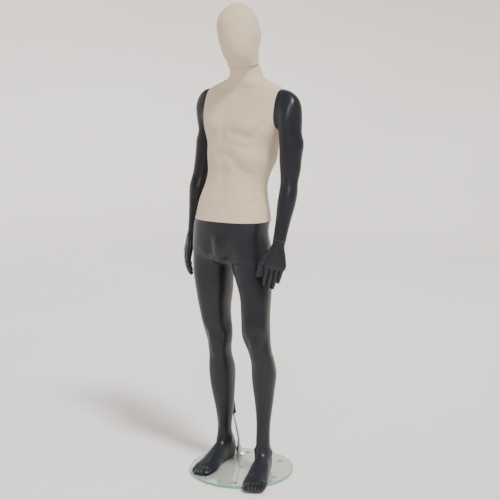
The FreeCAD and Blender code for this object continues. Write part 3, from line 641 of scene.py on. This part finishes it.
def sculpt_trunk(form):
    """Chest, belly and back."""
    n = form.normals()
    for x, z in ((0.088, 1.400), (-0.094, 1.402)):
        swell(form, on_skin(form, x, z), (0.060, 0.05, 0.036), 0.0085, n)
    pec_left = front_line(form, (0.020, 1.378), (0.054, 1.362), (0.098, 1.352), (0.128, 1.366),
                          (0.152, 1.398))
    pec_right = front_line(form, (-0.050, 1.372), (-0.084, 1.357), (-0.122, 1.356), (-0.150, 1.382))
    crease(form, pec_left, 0.017, -0.0050, n)
    crease(form, pec_right, 0.017, -0.0042, n)
    swell(form, on_skin(form, 0.104, 1.352), (0.020, 0.03, 0.011), -0.0030, n)
    crease(form, front_line(form, (-0.030, 1.45), (-0.030, 1.40), (-0.023, 1.35)), 0.022, -0.0040, n)
    arch_left = front_line(form, (0.010, 1.288), (0.036, 1.272), (0.063, 1.237), (0.088, 1.212))
    arch_right = front_line(form, (-0.045, 1.290), (-0.070, 1.276), (-0.094, 1.245), (-0.112, 1.216))
    crease(form, arch_left, 0.019, -0.0046, n)
    crease(form, arch_right, 0.019, -0.0040, n)
    for x, z in ((0.082, 1.285), (-0.095, 1.292)):
        swell(form, on_skin(form, x, z), (0.040, 0.05, 0.028), 0.0052, n)
    swell(form, on_skin(form, 0.112, 1.312), (0.022, 0.06, 0.010), -0.0014, n)
    crease(form, front_line(form, (-0.020, 1.27), (-0.014, 1.22), (-0.010, 1.14)), 0.020, -0.0024, n)
    for x, z in ((0.022, 1.185), (-0.050, 1.185), (0.018, 1.245), (-0.052, 1.248)):
        swell(form, on_skin(form, x, z), (0.026, 0.05, 0.022), 0.0022, n)
    crease(form, front_line(form, (0.056, 1.321), (0.089, 1.316)), 0.009, -0.0018, n)
    crease(form, front_line(form, (0.088, 1.088), (0.104, 1.094), (0.122, 1.112)), 0.010, -0.0022, n)
    crease(form, front_line(form, (0.012, 1.532), (0.065, 1.522), (0.125, 1.524)), 0.010, 0.0018, n)
    crease(form, front_line(form, (-0.016, 1.532), (-0.065, 1.522), (-0.125, 1.522)), 0.010, 0.0018, n)
    spine = back_line(form, (-0.003, 1.52), (-0.004, 1.42), (-0.008, 1.30), (-0.015, 1.18),
                      (-0.022, 1.07))
    crease(form, spine, 0.016, -0.0055, n)
    for x, z in ((0.085, 1.43), (-0.090, 1.43)):
        swell(form, on_skin(form, x, z, 1), (0.050, 0.05, 0.055), 0.0050, n)
    for x, z in ((0.036, 1.17), (-0.062, 1.17)):
        swell(form, on_skin(form, x, z, 1), (0.024, 0.05, 0.09), 0.0035, n)


BULGE_CENTRE = (-0.002, -0.116, 0.938)


def sculpt_seat(form):
    """Soften the joins of pelvis, thighs and bulge, then round the buttocks."""
    p = form.points
    band = smoothstep(p[:, 2], 0.805, 0.845) * (1 - smoothstep(p[:, 2], 0.975, 1.005))
    thigh_gap = np.exp(-((p[:, 2] - SEAMS["thigh"].centre.z) / 0.006) ** 2) * (p[:, 0] > -0.02)
    crotch = np.exp(-((p[:, 0] - 0.005) / 0.035) ** 4) * (p[:, 1] > -0.085)
    band *= 1 - crotch * (1 - smoothstep(p[:, 2], 0.885, 0.92))
    form.relax(90, 0.6, band * (1 - 0.5 * thigh_gap))
    n = form.normals()
    for x in (0.050, -0.108):
        swell(form, on_skin(form, x, 0.922, 1), (0.056, 0.06, 0.046), 0.0150, n)
    swell(form, on_skin(form, -0.029, 0.975, 1), (0.022, 0.05, 0.050), -0.0060, n)
    crease(form, back_line(form, (-0.029, 0.965), (-0.029, 0.93), (-0.029, 0.90)), 0.020, -0.0100, n)
    form.relax(12, 0.5, 0.8 * smoothstep(p[:, 1], 0.0, 0.03) * smoothstep(p[:, 2], 0.875, 0.90)
               * (1 - smoothstep(p[:, 2], 1.0, 1.02)))
    bulge = np.array(BULGE_CENTRE)
    swell(form, bulge, (0.034, 0.05, 0.030), 0.018, n)
    swell(form, bulge + (-0.006, 0.02, -0.056), (0.030, 0.05, 0.014), -0.009, n)
    for x, z, size in ((-0.062, 0.905, 0.020), (0.044, 0.905, 0.020)):
        swell(form, on_skin(form, x, z), (size, 0.05, 0.034), -0.0060, n)
    crease(form, front_line(form, (-0.048, 0.955), (-0.050, 0.915), (-0.036, 0.884)), 0.012, -0.0048, n)
    crease(form, front_line(form, (0.036, 0.950), (0.040, 0.912), (0.030, 0.884)), 0.012, -0.0048, n)


def narrow_neck(form):
    """Draw the neck in to a column above the shoulders."""
    p = form.points
    centre = np.array(SEAMS["neck"].centre)
    flat = (p - centre) * (1, 1, 0)
    reach = np.linalg.norm(flat, axis=1)[:, None]
    amount = np.exp(-((p[:, 2] - 1.574) / 0.020) ** 2) * 0.0095 * (reach[:, 0] < 0.12)
    form.points = p - flat / reach.clip(1e-6) * amount[:, None]
    form.relax(8, 0.5, np.exp(-((p[:, 2] - 1.565) / 0.022) ** 2) * (reach[:, 0] < 0.13))


def sculpt_head(form):
    """The blank face's soft keel, and a low bump for each ear."""
    n = form.normals()
    ahead = np.array((math.sin(math.radians(22)), -math.cos(math.radians(22)), 0))
    aside = np.array((ahead[1], -ahead[0], 0)) * -1
    centre = np.array((0.005, -0.012, 0))
    for z, reach, amount in ((1.675, 0.036, 0.0035), (1.715, 0.030, 0.0030)):
        swell(form, centre + ahead * 0.098 + (0, 0, z), (0.016, 0.03, reach), amount, n)
    for sign in (-1, 1):
        temple = centre + ahead * 0.075 + aside * sign * 0.045 + (0, 0, 1.742)
        ear = centre + aside * sign * 0.080 - ahead * 0.012 + (0, 0, 1.742)
        swell(form, temple, (0.02, 0.02, 0.02), -0.0022, n)
        swell(form, ear, (0.012, 0.013, 0.015), 0.0075, n)


def leg_direction(heading):
    """The directions ahead of a leg and to its left, for a heading turned out from -Y."""
    return (np.array((math.sin(heading), -math.cos(heading), 0)),
            np.array((math.cos(heading), math.sin(heading), 0)))


# Each knee's centre and heading.
KNEE = {"left": ((0.113, -0.032, 0.548), math.radians(24)),
        "right": ((-0.106, -0.008, 0.540), math.radians(9))}

# How much each knee is widened above its middle, on its outer and its inner side.
KNEE_WIDENING = {"left": (0.0020, 0.0095), "right": (0.0120, 0.004)}


def sculpt_leg(form, name):
    """Kneecap, shin, calf, ankle bones and heel tendon."""
    n = form.normals()
    knee, heading = np.array(KNEE[name][0]), KNEE[name][1]
    ahead, aside = leg_direction(heading)
    front = knee + ahead * 0.052
    outer = 1 if name == "left" else -1
    swell(form, front + (0, 0, 0.006), (0.027, 0.027, 0.032), 0.0052, n)
    swell(form, front + (0, 0, -0.056), (0.016, 0.016, 0.020), 0.0034, n)
    swell(form, front + (0, 0, -0.028), (0.020, 0.016, 0.010), -0.0012, n)
    for sign in (-1, 1):
        beside = front + aside * sign * 0.033 - ahead * 0.006 + (0, 0, 0.010)
        below = front + aside * sign * 0.024 + (0, 0, -0.036)
        above = front + aside * sign * 0.028 - ahead * 0.004 + (0, 0, 0.078)
        swell(form, beside, (0.013, 0.015, 0.026), -0.0044, n)
        swell(form, below, (0.012, 0.012, 0.014), -0.0026, n)
        swell(form, above, (0.024, 0.024, 0.034), 0.0060, n)
        side_of = knee + aside * sign * 0.050 - ahead * 0.004
        amount = KNEE_WIDENING[name][0 if sign == outer else 1]
        swell(form, side_of + (0, 0, 0.030), (0.030, 0.034, 0.042), amount, n)
        swell(form, side_of + (0, 0, -0.036), (0.020, 0.024, 0.011), -0.0016, n)
    if name == "right":
        swell(form, knee + aside * outer * 0.056 + (0, 0, 0.078), (0.034, 0.04, 0.050), 0.0080, n)
    swell(form, front + (0, 0, 0.058), (0.022, 0.02, 0.020), -0.0018, n)
    swell(form, knee - ahead * 0.050, (0.022, 0.022, 0.030), -0.0040, n)
    if name == "right":
        axis = np.array(SOCKET.normal)
        mouth = np.array(SOCKET.centre)
        crease(form, [mouth + axis * 0.02, mouth + axis * 0.13], 0.020, 0.0030, n)
    x, y = ANKLE[name]
    ankle = np.array((x, y, 0))
    foot_ahead, foot_aside = leg_direction(FOOT_HEADING[name])
    shin = [knee + ahead * 0.050 + (0, 0, -0.075), (knee + ankle) / 2 + ahead * 0.050 + (0, 0, 0.02),
            ankle + foot_ahead * 0.030 + (0, 0, 0.16)]
    crease(form, shin, 0.011, 0.0034, n)
    crease(form, [point + aside * (outer * 0.016) for point in shin], 0.013, -0.0030, n)
    for sign in (-1, 1):
        calf = (knee * 0.62 + ankle * 0.38) * (1, 1, 0) + (0, 0, 0.402 if sign > 0 else 0.420)
        swell(form, calf - ahead * 0.045 + aside * sign * 0.022, (0.022, 0.024, 0.050), 0.0032, n)
    inner = -outer
    inner_bone = ankle + foot_aside * inner * 0.033 + foot_ahead * 0.004 + (0, 0, 0.103)
    outer_bone = ankle - foot_aside * inner * 0.032 - foot_ahead * 0.006 + (0, 0, 0.092)
    for bone in (inner_bone, outer_bone):
        swell(form, bone, (0.011, 0.011, 0.013), 0.0048, n)
    for sign in (-1, 1):
        heel_side = ankle - foot_ahead * 0.028 + foot_aside * sign * 0.024
        crease(form, [heel_side + (0, 0, 0.085), heel_side + (0, 0, 0.165)], 0.011, -0.0042, n)
    tendon = [ankle + foot_ahead * 0.045 + foot_aside * inner * 0.004 + (0, 0, 0.110),
              ankle + foot_ahead * 0.095 + foot_aside * inner * 0.010 + (0, 0, 0.070),
              ankle + foot_ahead * 0.150 + foot_aside * inner * 0.016 + (0, 0, 0.045)]
    crease(form, tendon, 0.009, 0.0034, n)
    arch = ankle + foot_ahead * 0.085 + foot_aside * inner * 0.050 + (0, 0, 0.022)
    swell(form, arch, (0.040, 0.03, 0.018), -0.0050, n)


# Each groove's place across the foot, and each toe's place along and across it and its width.
TOE_GROOVES = (0.0165, 0.0010, -0.0125, -0.0250)
TOE_CROWNS = ((0.196, 0.0290, 0.0120), (0.198, 0.0088, 0.0072), (0.193, -0.0058, 0.0068),
              (0.184, -0.0188, 0.0065), (0.172, -0.0315, 0.0065))


def sculpt_toes(obj, name):
    """Refine the front of the foot and part it into five toes."""
    bm = bmesh.new()
    bm.from_mesh(obj.data)
    x, y = ANKLE[name]
    ahead, aside = leg_direction(FOOT_HEADING[name])
    inner = -aside if name == "left" else aside
    ankle = Vector((x, y, 0))
    picked = [e for e in bm.edges
              if (e.verts[0].co - ankle).dot(Vector(ahead)) > 0.135 and e.verts[0].co.z < 0.07]
    bmesh.ops.subdivide_edges(bm, edges=picked, cuts=1, use_grid_fill=True, smooth=0.6)
    bmesh.ops.triangulate(bm, faces=[f for f in bm.faces if len(f.verts) > 4])
    bm.normal_update()
    for v in bm.verts:
        local = np.array(v.co - ankle)
        along, across, height = local @ ahead, local @ inner, local[2]
        if along < 0.14 or height > 0.07:
            continue
        move = np.zeros(3)
        top = smoothstep(np.array(height), SOLE_Z + 0.001, 0.024)
        reach = smoothstep(np.array(along), 0.160, 0.180)
        depth = max(top, 0.35 * smoothstep(np.array(along), 0.19, 0.2))
        for place_across in TOE_GROOVES:
            share = math.exp(-((across - place_across) / 0.0026) ** 2) * reach
            move -= np.array(v.normal) * share * 0.0046 * depth
        for crown_along, crown_across, width in TOE_CROWNS:
            share = math.exp(-((across - crown_across) / width) ** 2
                             - ((along - crown_along) / 0.014) ** 2)
            move += np.array((0, 0, 1)) * share * 0.0042 * top
        crease_back = math.exp(-((along - 0.176) / 0.008) ** 2) * top
        move -= np.array((0, 0, 1)) * crease_back * 0.0016
        v.co += Vector(move)
        v.co.z = max(v.co.z, SOLE_Z)
    bm.to_mesh(obj.data)
    bm.free()


def bore_socket(obj):
    """Cut the rod's bore and the recess of its ferrule into the calf."""
    turn = SOCKET.normal.to_track_quat("Z", "Y").to_matrix()
    bm = bmesh.new()
    rings = [[bm.verts.new(SOCKET.centre + turn @ Vector((r * math.cos(a), r * math.sin(a), depth)))
              for a in (2 * math.pi * k / 48 for k in range(48))]
             for r, depth in ((0.0099, -0.045), (0.0099, 0.0001), (0.0082, 0.0001), (0.0082, 0.119))]
    for ring, other in zip(rings, rings[1:]):
        bridge(bm, ring, other)
    bm.faces.new(rings[0])
    bm.faces.new(rings[-1])
    bmesh.ops.recalc_face_normals(bm, faces=bm.faces)
    mesh = bpy.data.meshes.new("bore")
    bm.to_mesh(mesh)
    bm.free()
    tool = linked("bore", mesh)
    modifier = obj.modifiers.new("bore", "BOOLEAN")
    modifier.operation, modifier.solver, modifier.object = "DIFFERENCE", "EXACT", tool
    cut = bpy.data.meshes.new_from_object(obj.evaluated_get(bpy.context.evaluated_depsgraph_get()))
    obj.modifiers.clear()
    obj.data = cut
    bpy.data.objects.remove(tool)


core = core_form()
core.relax(6)
sculpt_seat(core)
core.relax(3)
sculpt_trunk(core)
narrow_neck(core)
sculpt_head(core)
for name in ("left", "right"):
    sculpt_leg(core, name)
core.relax(3)

pieces = parted(core, [SEAMS[k] for k in ("waist", "thigh", "neck", "left_shoulder", "right_shoulder")],
                CORE_VOXEL)
by_height = sorted(pieces[:4], key=lambda o: sum(v.co.z for v in o.data.vertices) / len(o.data.vertices))
left_leg, lower_body, torso, head = by_height
discard(pieces[4:])


# ---------------------------------------------------------------- linen covers
COVER_GAP = 0.0002
COVER_THICKNESS = 0.0010
THINNER_AT_RIM = 0.0005
WEAVE_RADIUS = {"torso": 0.13, "head": 0.08}
HEM_HEIGHT = 0.011


def seam_height(points, seam, is_child):
    """Each point's distance from the seam, into the piece; 1 m for points that aren't beside it."""
    height, across = seam.measure(points)
    return np.where(across < seam.reach, height if is_child else -height, 1.0)


def hem_lift(points, seam, is_child, height=HEM_HEIGHT, lift=0.0005):
    """A turned hem beside a seam, with a stitched line along its top."""
    from_edge = seam_height(points, seam, is_child)
    band = 1 - smoothstep(from_edge, height - 0.002, height + 0.001)
    stitch = np.exp(-((from_edge - height + 0.003) / 0.0022) ** 2)
    return band * lift - stitch * lift * 0.3


def linen_cover(skin, name, body, node, seams, lift):
    """A closed thin cover a little outside the skin, open at its seams."""
    points, _ = mesh_arrays(skin.data)
    normals = np.empty(len(points) * 3)
    skin.data.vertices.foreach_get("normal", normals)
    normals = normals.reshape(-1, 3)
    shift = np.zeros_like(points)
    rim = np.zeros(len(points), bool)
    for seam, is_child in seams:
        on_rim = np.abs(seam_height(points, seam, is_child)) < RIM_TOLERANCE
        axis = np.array(seam.normal)
        flat = normals[on_rim] - np.outer(normals[on_rim] @ axis, axis)
        normals[on_rim] = flat / np.linalg.norm(flat, axis=1)[:, None]
        if is_child:
            shift[on_rim] += axis * SEAM_GAP
        rim |= on_rim
    inner = points + shift + normals * COVER_GAP
    thick = COVER_GAP + COVER_THICKNESS + lift(points) - np.where(rim, THINNER_AT_RIM, 0)
    outer = points + shift + normals * thick[:, None]
    for layer in (inner, outer):
        for seam, is_child in seams:
            short = (SEAM_GAP if is_child else 0) - seam_height(layer, seam, is_child)
            layer += np.outer(short.clip(0), seam.normal) * (1 if is_child else -1)
    count = len(points)
    faces = [tuple(p.vertices) for p in skin.data.polygons]
    used = {}
    for face in faces:
        for a, b in zip(face, face[1:] + face[:1]):
            used[(a, b)] = used.get((a, b), 0) + 1
    edge_faces = [(b, a, a + count, b + count) for a, b in used if (b, a) not in used]
    inside = [tuple(k + count for k in reversed(face)) for face in faces]
    mesh = bpy.data.meshes.new(name)
    mesh.from_pydata(np.concatenate([outer, inner]).tolist(), [], faces + inside + edge_faces)
    weave = mesh.uv_layers.new(name="weave")
    all_points, loops = mesh_arrays(mesh)
    middle = all_points[:, :2].mean(0)
    radius = WEAVE_RADIUS[body]
    angle = np.arctan2(all_points[:, 0] - middle[0], -(all_points[:, 1] - middle[1]))
    weave.data.foreach_set("uv", np.stack([angle[loops] * radius, all_points[loops, 2]], axis=1).ravel())
    cover = linked(name, mesh)
    finish_piece(cover, name, body, "linen", [node])
    area = sum(p.area for p in skin.data.polygons)
    return cover, area


def neck_wrinkles(points):
    """Slack rings in the linen just under the head."""
    under = seam_height(points, SEAMS["neck"], False)
    offset = points - np.array(SEAMS["neck"].centre)
    around = np.arctan2(offset[:, 0], -offset[:, 1])
    rings = np.zeros(len(points))
    for depth, size, phase in ((0.007, 0.0009, 0.3), (0.016, 0.0007, 1.4), (0.026, 0.0004, 2.3)):
        wave = depth + 0.0015 * np.sin(2 * around + phase)
        rings += np.exp(-((under - wave) / 0.0032) ** 2) * size * (0.6 + 0.4 * np.cos(around + phase))
    return rings


def step_rim(obj, seam, is_child, amount, height):
    """Widen or narrow an open end beside its seam."""
    points, _ = mesh_arrays(obj.data)
    axis = np.array(seam.normal)
    from_edge = seam_height(points, seam, is_child)
    offset = points - np.array(seam.centre)
    flat = offset - np.outer(offset @ axis, axis)
    flat /= np.maximum(np.linalg.norm(flat, axis=1), 1e-6)[:, None]
    points = points + flat * (np.exp(-(from_edge / height) ** 2) * amount)[:, None]
    obj.data.vertices.foreach_set("co", points.ravel())
    obj.data.update()


step_rim(head, SEAMS["neck"], True, amount=0.0034, height=0.016)
step_rim(torso, SEAMS["neck"], False, amount=-0.0016, height=0.014)

TORSO_SEAMS = [(SEAMS["waist"], True), (SEAMS["neck"], False),
               (SEAMS["left_shoulder"], False), (SEAMS["right_shoulder"], False)]
torso_cover, torso_area = linen_cover(
    torso, "torso_linen", "torso", "torso_cover", TORSO_SEAMS,
    lambda p: hem_lift(p, SEAMS["waist"], True) + neck_wrinkles(p))
head_cover, head_area = linen_cover(
    head, "head_linen", "head", "head_cover", [(SEAMS["neck"], True)],
    lambda p: hem_lift(p, SEAMS["neck"], True, height=0.010, lift=0.0011))

for seam, is_child in TORSO_SEAMS:
    close_cut(torso, seam, is_child)
close_cut(head, SEAMS["neck"], True)
close_cut(lower_body, SEAMS["waist"], False)
close_cut(lower_body, SEAMS["thigh"], False)
close_cut(left_leg, SEAMS["thigh"], True)
bore_socket(lower_body)
sculpt_toes(lower_body, "right")
sculpt_toes(left_leg, "left")
finish_piece(torso, "torso_inner_shell", "torso", "inner_shell", ["torso_shell"])
finish_piece(head, "head_inner_shell", "head", "inner_shell", ["head_shell"])
finish_piece(lower_body, "pelvis_and_right_leg", "lower_body", "anthracite_lacquer", ["lower_body_shell"])
finish_piece(left_leg, "left_leg", "left_leg", "anthracite_lacquer", ["left_leg_shell"])


# ---------------------------------------------------------------- arms and hands
ARM_VOXEL = 0.0030
HAND_VOXEL = 0.0014
OUT_OF = {"left": LEFTWARD, "right": -LEFTWARD}
ELBOW = {"left": (0.227, 0.004, 1.172), "right": (-0.246, 0.041, 1.168)}


def build_arm(side):
    shoulder, wrist = SEAMS[side + "_shoulder"], SEAMS[side + "_wrist"]
    skin = outer_skin(side + "_arm_shell")
    push_cap(skin[0], shoulder, -SHOULDER_OVERLAP)
    push_cap(skin[0], wrist, 0.010)
    form = remeshed([skin, plug(shoulder, FITTING_RADIUS, -0.009, FITTING_DEPTH),
                     plug(wrist, 0.014, -0.030, 0.009)], ARM_VOXEL)
    form.relax(5)
    sculpt_arm(form, side)
    form.relax(3)
    pieces = parted(form, [shoulder, wrist], ARM_VOXEL)
    discard(pieces[1:])
    arm = pieces[0]
    close_cut(arm, shoulder, True)
    close_cut(arm, wrist, False)
    return finish_piece(arm, side + "_arm", side + "_arm", "anthracite_lacquer", [side + "_arm_shell"])


def sculpt_arm(form, side):
    """Deltoid edge, biceps, elbow and forearm muscles."""
    n = form.normals()
    out = np.array(OUT_OF[side])
    back = np.array(REARWARD)
    elbow = np.array(ELBOW[side])
    shoulder = np.array(SEAMS[side + "_shoulder"].centre)
    biceps = (shoulder * 0.42 + elbow * 0.58) * (0, 0, 1) + elbow * (1, 1, 0)
    swell(form, biceps - back * 0.040 + (0, 0, 0.03), (0.028, 0.028, 0.055), 0.0036, n)
    swell(form, biceps + back * 0.042 + out * 0.010 + (0, 0, 0.05), (0.026, 0.026, 0.060), 0.0036, n)
    crease(form, [biceps + out * 0.040 - back * 0.012 + (0, 0, 0.07),
                  biceps + out * 0.038 + (0, 0, 0.01), elbow + out * 0.034 + (0, 0, 0.03)],
           0.014, -0.0014, n)
    swell(form, elbow + back * 0.036, (0.014, 0.014, 0.018), 0.0042, n)
    for sign in (-1, 1):
        hollow = elbow + back * 0.030 + out * sign * 0.020 + (0, 0, 0.004)
        swell(form, hollow, (0.009, 0.010, 0.022), -0.0024, n)
    swell(form, elbow + out * 0.024 - back * 0.020 + (0, 0, -0.035), (0.020, 0.020, 0.046), 0.0040, n)
    swell(form, elbow - back * 0.030 - out * 0.002 + (0, 0, 0.008), (0.013, 0.014, 0.014), -0.0028, n)


# Direction across each palm, from the thumb's side to the little finger's once the hand is turned.
PALM_ACROSS = {"left": (0.700, 0.714, 0), "right": (-0.680, 0.733, 0)}
# How far the fingers' ends are moved that way; on the right it clears the thigh as the hand turns.
FINGER_DRIFT = {"left": 0.012, "right": 0.016}


def turn_thumb_forward(form, side):
    """Mirror the hand through its wrist axis: the CAD hand has its thumb at the rear."""
    wrist = SEAMS[side + "_wrist"]
    across = Vector(PALM_ACROSS[side])
    across = np.array((across - wrist.normal * across.dot(wrist.normal)).normalized())
    offset = (form.points - np.array(wrist.centre)) @ across
    form.points = form.points - 2 * np.outer(offset, across)
    form.faces = form.faces[:, ::-1]


def shape_fingers(form, side):
    """Thicken and gather the fingers, move them sideways and swell the root of the thumb."""
    centre = np.array(SEAMS[side + "_wrist"].centre)
    palm = np.array(PALM_ACROSS[side])
    below = centre[2] - form.points[:, 2]
    full = smoothstep(below, 0.060, 0.100) * 0.0016 + smoothstep(below, 0.015, 0.050) * 0.0006
    form.points = form.points + form.normals() * full[:, None]
    offset = (form.points - centre) @ palm
    far = below > 0.11
    slope, start = np.polyfit(below[far], offset[far], 1)
    share = smoothstep(below, 0.085, 0.180) * 0.13
    move = smoothstep(below, 0.0, 0.20) * FINGER_DRIFT[side] - (offset - start - slope * below) * share
    form.points = form.points + palm * move[:, None]
    outward = np.array((palm[1], -palm[0], 0)) * (1 if side == "left" else -1)
    swell(form, centre - palm * 0.020 + outward * 0.014 - (0, 0, 0.055), (0.020, 0.020, 0.032), 0.0026,
          form.normals())


def build_hand(side):
    wrist = SEAMS[side + "_wrist"]
    skin = outer_skin(side + "_hand_shell")
    push_cap(skin[0], wrist, -0.006)
    form = remeshed([skin, plug(wrist, 0.014, -0.005, 0.022)], HAND_VOXEL)
    form.relax(4)
    turn_thumb_forward(form, side)
    shape_fingers(form, side)
    form.relax(2)
    pieces = parted(form, [wrist], HAND_VOXEL)
    discard(pieces[1:])
    hand = pieces[0]
    step_rim(hand, wrist, True, amount=-0.0003, height=0.007)
    close_cut(hand, wrist, True)
    return finish_piece(hand, side + "_hand", side + "_hand", "anthracite_lacquer", [side + "_hand_shell"])


for side in ("left", "right"):
    build_arm(side)
    build_hand(side)


# ---------------------------------------------------------------- studio
def revolve_profile(name, profile, sides=128):
    """A smooth surface of revolution about +Z from (radius, height) points."""
    points = [(r * math.cos(2 * math.pi * k / sides), r * math.sin(2 * math.pi * k / sides), z)
              for r, z in profile for k in range(sides)]
    faces = [tuple(range(sides))]
    for ring in range(len(profile) - 1):
        for k in range(sides):
            n = (k + 1) % sides
            base, above = ring * sides, (ring + 1) * sides
            faces.append((base + k, above + k, above + n, base + n))
    mesh = bpy.data.meshes.new(name)
    mesh.from_pydata(points, [], faces)
    obj = linked(name, mesh)
    for polygon in mesh.polygons:
        polygon.use_smooth = True
    return obj


def studio_floor():
    made, tree, shader = new_material("pale_floor", Specular_IOR_Level=0.3)
    cloud = noise(tree, place(tree), 0.6, 3.0)
    tree.links.new(ramp(tree, cloud, ((0.3, (0.83, 0.79, 0.76)), (0.7, (0.87, 0.83, 0.80)))),
                   shader.inputs["Base Color"])
    shader.inputs["Roughness"].default_value = 0.6
    bend = [(6.5 + 2.5 * math.sin(a), 2.5 - 2.5 * math.cos(a))
            for a in (math.pi / 2 * k / 12 for k in range(13))]
    floor = revolve_profile("studio_floor", [(0.6, 0.0), (3.0, 0.0)] + bend + [(9.0, 6.0)])
    floor.data.materials.append(made)


def area_light(name, place_at, aim, power, width, height, tint=(1, 1, 1)):
    lamp = bpy.data.lights.new(name, "AREA")
    lamp.shape, lamp.size, lamp.size_y = "RECTANGLE", width, height
    lamp.energy, lamp.color = power, tint
    obj = linked(name, lamp)
    obj.location = place_at
    obj.rotation_euler = (Vector(aim) - Vector(place_at)).to_track_quat("-Z", "Y").to_euler()


def world_light(strength, tint):
    world = bpy.data.worlds.new("studio")
    bpy.context.scene.world = world
    world.use_nodes = True
    sky = world.node_tree.nodes["Background"]
    sky.inputs["Color"].default_value = (*tint, 1)
    sky.inputs["Strength"].default_value = strength


def sun_light(name, towards, strength, spread, tint=(1, 1, 1)):
    lamp = bpy.data.lights.new(name, "SUN")
    lamp.energy, lamp.angle, lamp.color = strength, math.radians(spread), tint
    obj = linked(name, lamp)
    obj.rotation_euler = Vector(towards).to_track_quat("Z", "Y").to_euler()


studio_floor()
world_light(0.50, (0.97, 0.985, 1.0))
sun_light("key", (1.35, -0.40, 1.9), 3.9, 11, (1.0, 0.985, 0.96))
area_light("strip", (1.9, -2.4, 2.9), (0.1, 0.0, 1.2), 45, 0.5, 1.6)
area_light("rim", (-1.5, 3.2, 3.0), (0.0, 0.0, 1.0), 40, 1.2, 2.0)

# ---------------------------------------------------------------- camera, at the photograph's view
CAMERA_AZIMUTH = math.radians(39)
CAMERA_DISTANCE = 4.0339
CAMERA_HEIGHT = 1.585
CAMERA_TILT, CAMERA_TURN = math.radians(80.432), math.radians(38.51)
camera_data = bpy.data.cameras.new("camera")
camera_data.lens, camera_data.sensor_width = 75.0, 36.0
camera = linked("camera", camera_data)
camera.location = (math.sin(CAMERA_AZIMUTH) * CAMERA_DISTANCE,
                   -math.cos(CAMERA_AZIMUTH) * CAMERA_DISTANCE, CAMERA_HEIGHT)
camera.rotation_euler = (CAMERA_TILT, 0, CAMERA_TURN)
bpy.context.scene.camera = camera
